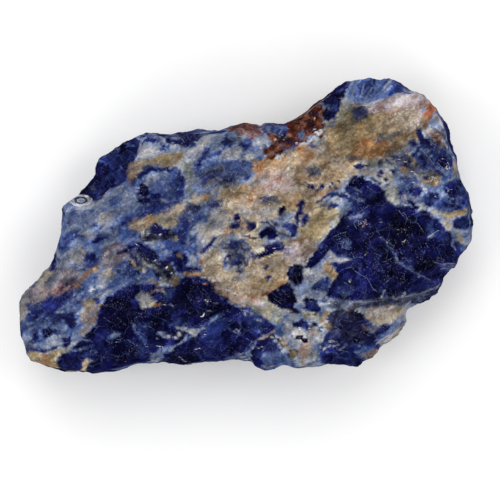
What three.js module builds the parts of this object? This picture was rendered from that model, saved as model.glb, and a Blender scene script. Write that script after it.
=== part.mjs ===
// Rough sodalite: one broken chunk of blue rock, lying on its broad underside with its best face up.
// Millimetres, +Z up. X runs along the chunk and Y across it. The origin is the middle of the bottom
// of its box, level with the flat spot that it rests on.
//
// The chunk is one solid. A sphere's grid of points is laid over it: each column of the grid goes from
// the middle of the upper face out to one point of the outline and back under to the middle of the
// underside. The upper height is the lowest of a set of broken planes, less some shallow hollows, and
// the lower height is the highest of another set. Round the sides, short broken planes lean in above
// and below a narrow waist, which is the outline.

import * as THREE from "three";
import { mergeVertices } from "three/addons/utils/BufferGeometryUtils.js";

// Driving dimensions
const LENGTH = 110; // of the outline, along X
const CROWN = 36; // height of the face above the flat spot
const COLUMNS = 140; // points round the outline
const FACE_RINGS = 20; // steps from the middle of the face out to the waist
const UNDER_RINGS = 14; // steps from the waist back to the middle of the underside

// The outline seen from above, counter-clockwise from the left end, as X and Y.
const OUTLINE = [
  [-55, -25.1], [-54.6, -27.2], [-53.3, -30.5], [-53, -32.4], [-50, -33.5], [-46.1, -35],
  [-37, -35.6], [-31, -35.1], [-26.4, -33.5], [-20.6, -33.4], [-14.6, -33.9], [-10.3, -33.1],
  [-0.2, -32.7], [1.5, -32.9], [3.3, -34.7], [5.8, -35.1], [8.5, -34.2], [10.6, -34.7], [17.6, -34.3],
  [19, -33.9], [26.5, -33.8], [31.2, -31.7], [33.5, -28.7], [36.2, -27.4], [39.2, -23.4], [39.2, -21],
  [42.1, -18.3], [43.6, -18.2], [46.3, -15.6], [48.5, -11.5], [50.4, -10.3], [51.9, -8.4], [52, -7.2],
  [53.7, -5.5], [55, -1.5], [54.7, 2.1], [54, 7.9], [52.8, 9.8], [51.6, 13.5], [51, 16.8],
  [49.4, 19.6], [48.4, 23.6], [45.8, 28.2], [44, 30.8], [40.3, 32.6], [37.2, 34.1], [34.7, 35],
  [31.4, 35], [30.1, 35.6], [24.4, 34.9], [22.4, 33.6], [19, 31.2], [15.6, 28.6], [13.1, 26.7],
  [9.2, 24.4], [6.5, 25], [3.7, 24.3], [-0.2, 25.6], [-4.8, 24], [-10.2, 23], [-17.7, 22.5],
  [-24.2, 22.8], [-29.8, 19.8], [-32.8, 17.2], [-36.2, 15.2], [-36.5, 12.9], [-38.2, 11],
  [-40.2, 8.2], [-42.5, 5.9], [-44.2, 3.8], [-44.4, 1.1], [-45.9, -3.4], [-47.3, -9], [-50, -12.1],
  [-54.2, -16.8], [-54.8, -18.3],
];
const MIDDLE = new THREE.Vector2(1.5, -1.5); // where the columns meet

// Broken planes of the face: the X and Y of a point of the plane, how far it lies below the crown
// there, the way it falls, in degrees from +X towards +Y, and how steeply, in degrees.
const FACE_PLANES = {
  crown: { at: [13, 6.2], drop: 0, towards: 205, slope: 2.5 },
  leftShoulder: { at: [-27.8, -7], drop: 3, towards: 186, slope: 10 },
  lowerLeftFace: { at: [-13.4, -15.5], drop: 2.6, towards: 258, slope: 13 },
  lowerMiddleFace: { at: [13, -19.1], drop: 2.8, towards: 272, slope: 12 },
  rightBlueFace: { at: [33.5, 2.6], drop: 1.2, towards: 318, slope: 9 },
  lowerRightBreak: { at: [36.6, -17.1], drop: 5.6, towards: 296, slope: 27 },
  knobFace: { at: [33.5, 23], drop: 2.4, towards: 62, slope: 11 },
};
// The same for the underside, where the planes climb away from the flat spot's edge.
const UNDERSIDE_PLANES = {
  flatSpot: { at: [3.9, -3.9], towards: 0, slope: 0 },
  leftHeel: { at: [-11, -9.2], towards: 176, slope: 11 },
  lowerLeftHeel: { at: [-9.1, -15], towards: 232, slope: 17 },
  frontHeel: { at: [3.9, -17.4], towards: 266, slope: 23 },
  lowerRightHeel: { at: [17.8, -13.1], towards: 312, slope: 16 },
  rightHeel: { at: [22.2, -2.5], towards: 356, slope: 12 },
  upperRightHeel: { at: [16.9, 7.1], towards: 44, slope: 14 },
  backHeel: { at: [3.9, 6.2], towards: 96, slope: 22 },
  upperLeftHeel: { at: [-7.2, 2.8], towards: 138, slope: 15 },
};
// Broken planes of the sides, round the chunk from its left end: the middle of each, the way it faces,
// its half width, and its height at the outline and its steepness above and below the waist.
const SIDES = [
  { at: [-54.8, -23.9], towards: 182, half: 7, top: 21, over: 62, foot: 13, under: 48 },
  { at: [-52.1, -32.5], towards: 222, half: 5, top: 20, over: 66, foot: 12, under: 40 },
  { at: [-38.9, -35.2], towards: 268, half: 10, top: 23, over: 74, foot: 11, under: 52 },
  { at: [-20.6, -33.2], towards: 274, half: 10, top: 25, over: 79, foot: 8, under: 60 },
  { at: [-2.6, -32.8], towards: 268, half: 6, top: 27, over: 76, foot: 12, under: 46 },
  { at: [5.8, -34.7], towards: 264, half: 5, top: 23, over: 64, foot: 9, under: 66 },
  { at: [21, -33.7], towards: 273, half: 9, top: 26, over: 73, foot: 12, under: 52 },
  { at: [34.2, -28.2], towards: 310, half: 8, top: 22, over: 66, foot: 10, under: 45 },
  { at: [39.7, -21], towards: 345, half: 3, top: 20, over: 70, foot: 13, under: 60 },
  { at: [46.7, -14.3], towards: 318, half: 7, top: 20, over: 58, foot: 11, under: 42 },
  { at: [52.9, -5.8], towards: 335, half: 6, top: 21, over: 60, foot: 14, under: 50 },
  { at: [54.4, 4.3], towards: 4, half: 8, top: 22, over: 66, foot: 12, under: 54 },
  { at: [50.8, 17], towards: 16, half: 8, top: 24, over: 70, foot: 10, under: 44 },
  { at: [44.8, 29.5], towards: 42, half: 6, top: 21, over: 60, foot: 13, under: 52 },
  { at: [37.1, 34.3], towards: 66, half: 5, top: 20, over: 50, foot: 10, under: 58 },
  { at: [28.7, 35.3], towards: 93, half: 6, top: 20, over: 48, foot: 13, under: 46 },
  { at: [19.8, 31.7], towards: 124, half: 7, top: 24, over: 66, foot: 9, under: 62 },
  { at: [11.6, 25.9], towards: 116, half: 5, top: 25, over: 58, foot: 11, under: 48 },
  { at: [3.9, 24.7], towards: 98, half: 5, top: 26, over: 62, foot: 9, under: 58 },
  { at: [-9.1, 23.2], towards: 95, half: 8, top: 25, over: 66, foot: 12, under: 50 },
  { at: [-21.1, 22.8], towards: 92, half: 7, top: 23, over: 60, foot: 9, under: 60 },
  { at: [-30, 19.4], towards: 122, half: 7, top: 20, over: 54, foot: 12, under: 46 },
  { at: [-36.7, 13.4], towards: 158, half: 4, top: 19, over: 50, foot: 10, under: 52 },
  { at: [-39.9, 8.6], towards: 136, half: 6, top: 20, over: 50, foot: 13, under: 44 },
  { at: [-44.4, 2.1], towards: 160, half: 6, top: 21, over: 64, foot: 9, under: 56 },
  { at: [-47.1, -6.3], towards: 166, half: 6, top: 22, over: 68, foot: 12, under: 46 },
  { at: [-51.9, -14.3], towards: 138, half: 8, top: 20, over: 58, foot: 11, under: 52 },
];
const SIDE_END = 68; // steepness, in degrees, at which a side plane runs out past its half width
// Shell-shaped hollows: middle, radius and depth.
const FACE_HOLLOWS = [
  { at: [-23, -22.2], radius: 14, depth: 1.5 },
  { at: [-3.3, -27.5], radius: 11, depth: 1.1 },
  { at: [38.3, -8.7], radius: 12, depth: 1.7 },
  { at: [27.9, -1.5], radius: 8, depth: 1.0 },
  { at: [25.5, -28], radius: 9, depth: 1.6 },
  { at: [-21.8, 7.4], radius: 8, depth: 0.9 },
  { at: [32.7, 18.2], radius: 10, depth: 1.1 },
];
const UNDERSIDE_HOLLOWS = [
  { at: [-33.1, -15.5], radius: 11, depth: 1.6 },
  { at: [-23.5, 3.3], radius: 9, depth: 1.2 },
  { at: [40, 11.5], radius: 10, depth: 1.8 },
  { at: [34.2, -15.5], radius: 8, depth: 1.3 },
];
const WAIST_LEAN = 14; // of the narrow waist band, in degrees from upright
const SWELL = 0.3; // height of the long waves that keep the broken planes from being dead flat
const SWELL_LENGTHS = [23, 17]; // their lengths along and across the chunk
const SWELL_SKEWS = [0.4, -0.3]; // and how far each set turns towards the other's way
const SMOOTHING = 5; // outline points on each side that are averaged to round the face's own edge
const WAIST_EVENING = 3; // outline points on each side that the waist's height is averaged over
const DETAIL_FROM = 0.88; // share of the way out at which the outline's small steps begin to show
const RING_CROWDING = 1.25; // above 1, the rings stand closer together near the waist
const PROFILE_STEPS = 200; // along each half column, before it is shared out into rings
const SAME_POINT = 1e-4; // points closer than this are one

const RADIANS = Math.PI / 180;
const slopeOf = (degrees) => Math.tan(degrees * RADIANS);

// A point seen from a plane's own point: how far it lies the way the plane faces, and how far sideways.
function seenFrom(plane, point) {
  return point
    .clone()
    .sub(new THREE.Vector2(...plane.at))
    .rotateAround(new THREE.Vector2(), -plane.towards * RADIANS);
}

// The extra height that a side plane gains past its two ends, so that it cuts nothing beyond them.
function runOut(side, sideways) {
  return slopeOf(SIDE_END) * Math.max(0, Math.abs(sideways) - side.half);
}

function hollowDepth(hollows, point) {
  let depth = 0;
  for (const hollow of hollows) {
    const share = point.distanceTo(new THREE.Vector2(...hollow.at)) / hollow.radius;
    if (share < 1) depth += hollow.depth * (1 - share * share) ** 2;
  }
  return depth;
}

function swell(point) {
  const along = (point.x + SWELL_SKEWS[0] * point.y) / SWELL_LENGTHS[0];
  const across = (point.y + SWELL_SKEWS[1] * point.x) / SWELL_LENGTHS[1];
  return SWELL * Math.sin(2 * Math.PI * along) * Math.sin(2 * Math.PI * across);
}

function upperHeight(point) {
  const face = Object.values(FACE_PLANES).map(
    (plane) => CROWN - plane.drop - slopeOf(plane.slope) * seenFrom(plane, point).x,
  );
  const sides = SIDES.map((side) => {
    const seen = seenFrom(side, point);
    return side.top - slopeOf(side.over) * seen.x + runOut(side, seen.y);
  });
  return Math.min(...face, ...sides) - hollowDepth(FACE_HOLLOWS, point) + swell(point);
}

function lowerHeight(point) {
  const underside = Object.values(UNDERSIDE_PLANES).map(
    (plane) => slopeOf(plane.slope) * seenFrom(plane, point).x,
  );
  const sides = SIDES.map((side) => {
    const seen = seenFrom(side, point);
    return side.foot + slopeOf(side.under) * seen.x - runOut(side, seen.y);
  });
  return Math.max(...underside, ...sides) + hollowDepth(UNDERSIDE_HOLLOWS, point);
}

// The average of a value and its neighbours on both sides, on a ring of values.
function averageAround(values, index, reach) {
  let sum = 0;
  for (let step = -reach; step <= reach; step++)
    sum += values[(index + step + values.length) % values.length];
  return sum / (2 * reach + 1);
}

// The outline's points, evenly spaced, each with its place on the same outline with its steps rounded.
function rimPoints() {
  const corners = OUTLINE.map((corner) => new THREE.Vector3(...corner, 0));
  const curve = new THREE.CatmullRomCurve3(corners, true, "centripetal");
  const rim = curve.getSpacedPoints(COLUMNS).slice(0, COLUMNS);
  const along = rim.map((point) => point.x);
  const across = rim.map((point) => point.y);
  return rim.map((point, index) => ({
    rim: new THREE.Vector2(point.x, point.y),
    rounded: new THREE.Vector2(
      averageAround(along, index, SMOOTHING),
      averageAround(across, index, SMOOTHING),
    ),
  }));
}

// The height of the waist at each point of the outline: half way between the upper and lower planes
// there, evened out along the outline.
function waistHeights(ends) {
  const halfWay = ends.map(({ rim }) => (upperHeight(rim) + lowerHeight(rim)) / 2);
  return halfWay.map((_, index) => averageAround(halfWay, index, WAIST_EVENING));
}

// The points of one column's upper or lower half, from the middle to the waist.
function halfColumn({ rim, rounded }, waist, upper, rings) {
  const path = new THREE.CurvePath();
  let last;
  for (let step = 0; step <= PROFILE_STEPS; step++) {
    const share = 1 - (1 - step / PROFILE_STEPS) ** 2; // short steps at the steep side
    const detail = THREE.MathUtils.smoothstep(share, DETAIL_FROM, 1);
    const point = MIDDLE.clone().lerp(rounded, share).lerp(rim, detail);
    const band = point.distanceTo(rim) / slopeOf(WAIST_LEAN);
    const z = upper
      ? THREE.MathUtils.clamp(upperHeight(point), waist, waist + band)
      : THREE.MathUtils.clamp(lowerHeight(point), waist - band, waist);
    const next = new THREE.Vector3(point.x, point.y, z);
    if (last) path.add(new THREE.LineCurve3(last, next));
    last = next;
  }
  const shares = Array.from({ length: rings + 1 }, (_, ring) => 1 - (1 - ring / rings) ** RING_CROWDING);
  return shares.map((share) => path.getPointAt(share));
}

function chunkGeometry() {
  const ends = rimPoints();
  const waists = waistHeights(ends);
  const columns = ends.map((end, index) => {
    const face = halfColumn(end, waists[index], true, FACE_RINGS);
    const under = halfColumn(end, waists[index], false, UNDER_RINGS);
    return [...face, ...under.reverse().slice(1)];
  });
  const rings = FACE_RINGS + UNDER_RINGS;
  const geometry = new THREE.SphereGeometry(1, COLUMNS, rings);
  const position = geometry.getAttribute("position");
  for (let ring = 0; ring <= rings; ring++)
    for (let column = 0; column <= COLUMNS; column++) {
      const point = columns[column % COLUMNS][ring];
      position.setXYZ(ring * (COLUMNS + 1) + column, point.x, point.y, point.z);
    }
  geometry.deleteAttribute("normal");
  geometry.deleteAttribute("uv");
  return mergeVertices(geometry, SAME_POINT);
}

// The same shape at its exact length, over the origin and standing on it.
function seated(geometry) {
  geometry.computeBoundingBox();
  const { min, max } = geometry.boundingBox;
  geometry.translate(-(min.x + max.x) / 2, -(min.y + max.y) / 2, -min.z);
  const size = LENGTH / (max.x - min.x);
  geometry.scale(size, size, size);
  geometry.computeVertexNormals();
  return geometry;
}

const chunk = new THREE.Mesh(
  seated(chunkGeometry()),
  new THREE.MeshStandardMaterial({ color: 0x26336e, roughness: 0.35, metalness: 0 }),
);
chunk.name = "sodalite_chunk";

const part = new THREE.Group();
part.add(chunk);

export default part;
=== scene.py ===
"""Rough sodalite: a broken chunk of deep blue stone with a seam of cream and tan feldspar.

The chunk is the CAD solid, remeshed finely and worked into scoops, steps and grain. Its colours are painted mark by
mark on the mesh's vertices, as the stone is seen from straight above, and carried on over its sides and underside.
A procedural material adds the sugary grain, the sparkle, mostly as painted glint specks, and the hairlines.
"""

import math

import bpy
import numpy as np
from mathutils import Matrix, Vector


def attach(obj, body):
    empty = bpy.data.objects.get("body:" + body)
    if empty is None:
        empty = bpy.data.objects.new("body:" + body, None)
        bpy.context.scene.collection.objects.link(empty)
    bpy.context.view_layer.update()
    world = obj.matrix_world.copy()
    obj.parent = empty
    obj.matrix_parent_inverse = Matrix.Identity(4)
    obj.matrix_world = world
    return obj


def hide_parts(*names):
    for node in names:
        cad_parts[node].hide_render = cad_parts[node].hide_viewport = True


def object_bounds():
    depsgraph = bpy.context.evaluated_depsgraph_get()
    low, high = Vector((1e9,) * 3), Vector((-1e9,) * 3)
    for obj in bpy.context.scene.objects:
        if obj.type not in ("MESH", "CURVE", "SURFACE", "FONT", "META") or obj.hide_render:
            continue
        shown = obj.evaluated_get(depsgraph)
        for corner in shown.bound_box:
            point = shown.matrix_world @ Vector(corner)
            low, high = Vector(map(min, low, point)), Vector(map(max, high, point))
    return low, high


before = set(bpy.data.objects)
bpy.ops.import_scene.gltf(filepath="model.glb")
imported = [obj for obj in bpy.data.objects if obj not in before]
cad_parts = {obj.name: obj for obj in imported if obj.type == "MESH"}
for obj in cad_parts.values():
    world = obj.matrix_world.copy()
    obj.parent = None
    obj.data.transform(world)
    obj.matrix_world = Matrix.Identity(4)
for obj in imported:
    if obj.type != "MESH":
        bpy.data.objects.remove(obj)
CAD_BOX = [list(corner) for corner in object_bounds()]

MM = 0.001
NODE = "sodalite_chunk"

# The picture is 500 x 500 pixels, and one pixel is 0.24 mm at the height of the stone's widest outline.
PICTURE = 500
PIXEL = 0.24038 * MM
OUTLINE_HEIGHT = 17 * MM
AIM = (1.01 * MM, -5.84 * MM)  # the camera looks straight down on this place
LENS = 110
SENSOR = 36
CAMERA_HEIGHT = OUTLINE_HEIGHT + PICTURE * PIXEL * LENS / SENSOR

FACE_GRAIN = 0.36 * MM  # size of the triangles that the CAD solid is remeshed with
TRIANGLES = 197000  # how many are left once the sides and the underside are thinned
SIDE_RISE = 0.3  # the normals of the upper sides rise less than this
SIDE_KEPT = 0.55  # share of the triangles that is left there
BASE = 0.4 * MM  # below this the flat spot that the stone rests on keeps all its small triangles
CLEAR = 0.35  # level of the scattered cells at which they neither dig in nor stand out

EDGE = 4.2  # how many pixels in from the outline the face turns down into the side
RIM = 2 * MM  # how far below that the hairlines of the face still show
RING_PLACE = (80, 200)  # the white ring by the left rim isn't folded over it
MIDDLE_PLACE = (250, 225)  # the sides carry on the colours that lie towards this place
SLOTS = 120  # directions round the stone in which the heights of its side are looked up
OUTERMOST = 12  # the mean height of this many outermost vertices in each direction is the waist's
DEPTH = 0.66  # how much darker the stone is than its painted colours, as light sinks into it
SHARPEN = 0.7  # how much of its difference from its neighbours each vertex gains

FEATHER = 1.5  # how much wider than drawn each mark's edge fades
GAP_SETS = 4  # patterns of gaps where what lies below shows through a mark
GAPS_PER_PIXEL, MOST_GAPS = 0.04, 0.45  # the broader a mark, the more of it they take, up to this share
NEARBY = 3  # pixels round a mark that are looked at as well, as its edge is ragged
SOLID = ("navy", "night")  # these cover what lies below them whole
LINE_REACH = 3.2  # how many pixels either side of a hairline know about it
LINE_WIDTH = 0.7  # the hairlines are this much thinner than drawn
FAR_FROM_LINES = 9.0  # stands for the distance to a hairline that is out of reach


# ---------------------------------------------------------------- noise
TURN = np.array([[0.36, 0.48, -0.8], [-0.8, 0.6, 0.0], [0.48, 0.64, 0.6]])  # keeps the octaves' grids apart
# large odd numbers that scramble a cell's place and its seed
SCRAMBLE = (374761393, 668265263, 1440662683, 974711, 1274126177, 2246822519)
BITS = 0xFFFFFFFF  # the scrambled number keeps 32 bits


def lattice(cell, seed):
    """A number from 0 to 1 for each cell of a grid."""
    for_x, for_y, for_z, for_seed, first, second = SCRAMBLE
    h = (cell[:, 0] * for_x + cell[:, 1] * for_y + cell[:, 2] * for_z + seed * for_seed) & BITS
    h = ((h ^ (h >> 13)) * first) & BITS
    h = ((h ^ (h >> 15)) * second) & BITS
    return (h ^ (h >> 16)) / (BITS + 1.0)


def noise(p, size, seed):
    """Smooth noise from -1 to 1, with bumps of that size."""
    q = p / size + 0.37 * seed
    cell = np.floor(q).astype(np.int64)
    f = q - cell
    w = f * f * f * (f * (f * 6 - 15) + 10)
    total = np.zeros(len(p))
    for dx in (0, 1):
        wx = w[:, 0] if dx else 1 - w[:, 0]
        for dy in (0, 1):
            wy = w[:, 1] if dy else 1 - w[:, 1]
            for dz in (0, 1):
                wz = w[:, 2] if dz else 1 - w[:, 2]
                total += lattice(cell + np.array([dx, dy, dz]), seed) * wx * wy * wz
    return total * 2 - 1


def fractal(p, size, seed, octaves=3, gain=0.55):
    """Noise with ever finer noise on top of it, each finer one weaker by the gain."""
    total, weight, norm = np.zeros(len(p)), 1.0, 0.0
    for k in range(octaves):
        total += weight * noise(p, size / 2**k, seed + 31 * k)
        norm += weight
        weight *= gain
        p = p @ TURN
    return total / norm


def bends(p, size, seed, ways=2, octaves=2):
    """How each place is pushed about: a number for each of the ways."""
    return np.column_stack([fractal(p, size, seed + way, octaves) for way in range(ways)])


def smooth(x, low, high):
    """0 up to low, 1 from high on, and eased in between."""
    t = np.clip((x - low) / (high - low), 0, 1)
    return t * t * (3 - 2 * t)


def blended(rgb, colour, amount):
    """The colours, with another one mixed in."""
    return rgb * (1 - amount[:, None]) + np.array(colour) * amount[:, None]


# ---------------------------------------------------------------- minerals
# name: (main, dark, light colour, size of its mottling in pixels, roughness, how strongly its grain shows)
MINERALS = {
    "night": ((14, 13, 40), (7, 6, 22), (26, 26, 74), 6, 0.2, 0.12),
    "navy": ((20, 21, 72), (11, 11, 44), (34, 39, 104), 6, 0.2, 0.16),
    "blue": ((38, 51, 110), (20, 27, 74), (70, 90, 150), 6, 0.26, 0.4),
    "azure": ((64, 86, 144), (30, 47, 106), (124, 143, 184), 7, 0.3, 0.6),
    "cloud": ((130, 145, 178), (72, 93, 146), (186, 192, 204), 8, 0.4, 0.8),
    "pale": ((168, 167, 174), (120, 128, 156), (204, 200, 198), 6, 0.42, 1),
    "cream": ((182, 164, 140), (140, 120, 102), (208, 194, 172), 6, 0.42, 1),
    "butter": ((182, 162, 124), (140, 124, 94), (204, 190, 158), 6, 0.42, 1),
    "tan": ((154, 128, 94), (118, 95, 70), (184, 160, 126), 6, 0.42, 1),
    "peach": ((196, 156, 120), (160, 116, 80), (216, 190, 160), 7, 0.42, 0.9),
    "orange": ((172, 114, 66), (130, 80, 44), (196, 150, 104), 5, 0.4, 0.9),
    "coral": ((188, 112, 82), (148, 80, 56), (208, 154, 124), 5, 0.4, 0.9),
    "rust": ((80, 38, 28), (44, 19, 17), (128, 76, 56), 3.5, 0.26, 1),
    "mauve": ((112, 82, 90), (72, 48, 58), (158, 134, 140), 4.5, 0.4, 1),
    "pink": ((210, 190, 196), (174, 148, 150), (228, 216, 222), 6, 0.42, 0.8),
    # steel is partly painted sheen: the lighter blue of the facet at the top where it catches the light
    "steel": ((98, 123, 186), (66, 88, 152), (138, 160, 204), 7, 0.26, 0.3),
    "sage": ((142, 144, 132), (108, 114, 110), (172, 172, 158), 6, 0.42, 0.9),
    "olive": ((126, 108, 80), (92, 80, 62), (158, 140, 106), 6, 0.42, 0.9),
    "brown": ((138, 96, 60), (102, 70, 48), (168, 128, 90), 6, 0.42, 0.9),
    "flesh": ((150, 126, 118), (106, 86, 84), (188, 170, 160), 4.5, 0.4, 1),
    "slate": ((70, 73, 92), (38, 39, 58), (112, 117, 132), 4, 0.26, 1),
    "black": ((30, 29, 36), (12, 12, 18), (92, 92, 86), 3.5, 0.2, 1),
    # flash is the white of the painted glints
    "flash": ((250, 250, 248), (230, 230, 236), (252, 252, 250), 4, 0.2, 0.4),
    # snow is white; its smallest specks are painted glints
    "snow": ((216, 216, 218), (174, 178, 190), (240, 240, 236), 4, 0.3, 0.8),
}

STREAK = np.radians(35)  # the streaks of the stone run up from lower left to upper right
STRETCH = 1.7  # how much longer than wide they are


def streaked(p):
    """Places turned and squeezed, so that noise on them is drawn out along the streaks."""
    along = p[:, 0] * np.cos(STREAK) - p[:, 1] * np.sin(STREAK)
    across = p[:, 0] * np.sin(STREAK) + p[:, 1] * np.cos(STREAK)
    return np.column_stack([along / STRETCH, across, p[:, 2]])


def mineral(name, p, fibres):
    """One mineral's colour, roughness and grain at each place: its main colour, clouded with the dark and the light
    one."""
    main, dark, light, size, rough, grain = MINERALS[name]
    seed = 7 * sorted(MINERALS).index(name)
    fine = 0.3 * noise(p, 0.33 * size, seed + 3)
    darker = smooth(fractal(fibres, 1.5 * size, seed + 1) + fine, -0.12, 0.5)
    lighter = smooth(fractal(fibres, 1.3 * size, seed + 2) + fine, -0.1, 0.52)
    colour = blended(blended(np.array(main), dark, darker), light, lighter)
    return np.column_stack([colour, np.full(len(p), rough), np.full(len(p), grain)])


# ---------------------------------------------------------------- marks
def distance_to_path(q, points):
    """How far each place lies from a path, in pixels."""
    best = np.full(len(q), 1e9)
    points = np.array(points, float)
    for a, b in zip(points[:-1], points[1:]):
        d = b - a
        t = np.clip(((q - a) @ d) / max(d @ d, 1e-9), 0, 1)
        best = np.minimum(best, np.hypot(*(q - a - t[:, None] * d).T))
    return best


def inside(q, points):
    """Whether each place lies within those corners."""
    points = np.array(points, float)
    odd = np.zeros(len(q), bool)
    for a, b in zip(points, np.roll(points, -1, 0)):
        crosses = (a[1] > q[:, 1]) != (b[1] > q[:, 1])
        with np.errstate(divide="ignore", invalid="ignore"):
            x = a[0] + (q[:, 1] - a[1]) * (b[0] - a[0]) / (b[1] - a[1])
        odd ^= crosses & (q[:, 0] < x)
    return odd


def depth_inside(mark, q):
    """How deep inside a mark each place lies, in pixels; negative outside it."""
    kind, _, size, points = mark[:4]
    if kind == "oval":
        rx, ry, tilt = (*size, 0)[:3]
        c, s = np.cos(np.radians(tilt)), np.sin(np.radians(tilt))
        dx, dy = (q - np.array(points[0])).T
        return (1 - np.hypot((dx * c + dy * s) / rx, (-dx * s + dy * c) / ry)) * min(rx, ry)
    if kind == "stroke":
        return size[0] / 2 - distance_to_path(q, points)
    edge = distance_to_path(q, points + points[:1])
    return np.where(inside(q, points), edge, -edge)


def reach(mark):
    """The lowest and the highest corner of what a mark covers."""
    kind, _, size, points = mark[:4]
    grow = {"oval": max(size[:2], default=0), "stroke": sum(size) / 2, "area": 0}[kind]
    return np.min(points, 0) - grow, np.max(points, 0) + grow


def breadth(mark):
    """Roughly how wide a mark is, in pixels."""
    low, high = reach(mark)
    return mark[2][0] if mark[0] == "stroke" else (high - low).min()


# the bends that shift the marks: their size, how far they shift, both in pixels, and their seed
WAVES = ((26, 1.1, 500), (9, 1.2, 510), (3.6, 0.8, 520))
WISP = 1.9  # how far wisps along the streaks shift them


def waver(p, fibres):
    """How far each mark's edge is shifted, in pixels: broad bends, small ones and wisps along the streaks."""
    out = sum(amount * bends(p, size, seed) for size, amount, seed in WAVES)
    wisp = WISP * fractal(fibres * [0.6, 1, 1], 4.2, 560, 3, 0.7)
    return out + wisp[:, None] * [np.cos(STREAK), -np.sin(STREAK)]


def paint(p, marks, crisp=()):
    """Colour (0-255), roughness and grain at each pixel place p. The first mark's mineral is the ground, and the
    others lie over it, one after the other; crisp ones keep their edges."""
    fibres = streaked(p)
    ragged = 0.55 * fractal(fibres, 4.5, 900, 3, 0.65) + 0.15 * noise(p, 1.6, 910)
    gaps = [smooth(fractal(fibres, 5.5, 920 + 4 * k, 3, 0.75), 0.0, 0.55) for k in range(GAP_SETS)]
    ground = marks[0][1]
    textures = {ground: mineral(ground, p, fibres)}
    out = textures[ground].copy()
    for group, at, feather in ((marks[1:], p[:, :2] + waver(p, fibres), FEATHER), (crisp, p[:, :2], 1)):
        for k, mark in enumerate(group, 1):
            name, soft, cover = mark[1], mark[4] * feather, mark[5]
            low, high = reach(mark)
            near = np.flatnonzero(((at > low - soft - NEARBY) & (at < high + soft + NEARBY)).all(1))
            if not len(near):
                continue
            if name not in textures:
                textures[name] = mineral(name, p, fibres)
            depth = depth_inside(mark, at[near]) + soft * ragged[near]
            shown = cover * smooth(depth, -soft / 2, soft / 2)
            if group is not crisp and name not in SOLID:
                shown *= 1 - min(MOST_GAPS, GAPS_PER_PIXEL * breadth(mark)) * gaps[k % GAP_SETS][near]
            out[near] = blended(out[near], textures[name][near], shown)
    return mottle(out, p, fibres)


WISP_COLOUR = (196, 192, 190)
SCRATCH_COLOUR = (104, 124, 186)
# how far apart each set of pale scratches lies, in pixels, and its seed
SCRATCHES = ((22, 980), (29, 981), (36, 982))


def mottle(out, p, fibres):
    """Cloudiness, dark hair veins, milky wisps and pale scratches that run through every mineral alike."""
    light = out[:, :3].max(1) / 255
    cloud = 0.38 * fractal(fibres, 8, 940, 3, 0.65) + 0.1 * noise(p, 1.4, 950)
    vein = 1 - np.abs(fractal(fibres, 13, 960, 3))
    cloud -= 0.13 * smooth(vein, 0.9, 1.0)
    milk = 0.36 * smooth(fractal(fibres, 6, 970, 3, 0.7), 0.05, 0.6) * smooth(light, 0.3, 0.6)
    rgb = blended(out[:, :3] * np.exp(cloud)[:, None], WISP_COLOUR, milk)
    dark = smooth(light, 0.55, 0.3)
    for apart, seed in SCRATCHES:
        line = noise(fibres @ TURN, apart, seed) + 0.08 * noise(p, 5, seed + 5)
        line = smooth(np.abs(line), 0.04, 0.005)
        where = smooth(noise(p, 14, seed + 10), 0.0, 0.6)
        rgb = blended(rgb, SCRATCH_COLOUR, 0.3 * line * where * dark)
    out[:, :3] = np.clip(rgb, 0, 250)
    return out


# The outline of the stone in the picture, in pixels.
OUTLINE = [
    (17, 330), (18.5, 339), (24, 352.5), (25.5, 360.3), (38, 365), (54, 371.5), (92, 373.8), (117, 371.8),
    (136, 365), (160, 364.6), (185, 366.6), (203, 363.3), (245, 361.8), (252, 362.6), (259.5, 370.2),
    (270, 371.6), (281, 368), (290, 370), (319, 368.2), (325, 366.7), (356, 366.3), (375.8, 357.4), (385, 345),
    (396.5, 339.5), (409, 323), (409, 313), (421, 301.7), (427, 301.5), (438.5, 290.5), (447.5, 273.7),
    (455.5, 268.7), (461.7, 260.5), (462.3, 255.5), (469.3, 248.7), (474.6, 232), (473.5, 217), (470.5, 193),
    (465.5, 184.8), (460.3, 169.5), (458, 155.8), (451.5, 144), (447, 127.5), (436.3, 108.5), (429, 97.5),
    (413.5, 90), (400.5, 84), (390, 80), (376.5, 80), (371, 77.6), (347.5, 80.5), (339, 86), (325, 96),
    (310.5, 106.8), (300.5, 114.7), (284, 124), (273, 121.5), (261, 124.6), (245, 119.3), (226, 126),
    (203.5, 130.2), (172, 132), (145, 131), (122, 143.5), (109.3, 154), (95, 162.3), (94, 172), (87, 180),
    (78.5, 191.5), (69, 201.3), (62, 210), (61, 221), (55, 240), (49, 263), (38, 276), (20.5, 295.5), (18, 302),
]


def drawn(text):
    """Marks from lines like "navy 3 0.8: SHAPE; SHAPE": a mineral, how softly its edge fades in pixels and how far
    it covers. A shape is the corners of an area, or w, a width and the path of a stroke, or o, two radii, a tilt
    and the middle of an oval. A line that begins with a space carries on the one before."""
    marks = []
    for line in text.strip().replace("\n ", " ").splitlines():
        head, shapes = line.split(":")
        name, soft, cover = (head.split() + ["1"])[:3]
        for shape in shapes.split(";"):
            words = shape.split()
            kind, size = "area", ()
            if words[0][0] in "wo":
                kind = {"w": "stroke", "o": "oval"}[words[0][0]]
                size = tuple(float(part) for part in words.pop(0)[1:].split(","))
            points = [tuple(float(part) for part in word.split(",")) for word in words]
            marks.append((kind, name, size, points, float(soft), float(cover)))
    return marks


def flash(x, y, size, turn):
    """A painted glint, a white flash of light: a short stroke, and the longer the wider and the brighter."""
    dx, dy = 0.35 * size * math.cos(math.radians(turn)), 0.35 * size * math.sin(math.radians(turn))
    width, cover = 0.5 + 0.5 * size, min(1, 0.5 + 0.22 * size)
    return "stroke", "flash", (width,), [(x - dx, y - dy), (x + dx, y + dy)], 1, cover


# What lies below every other mark.
GROUND = "cloud 1: 0,0 500,0 500,500 0,500"

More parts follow.
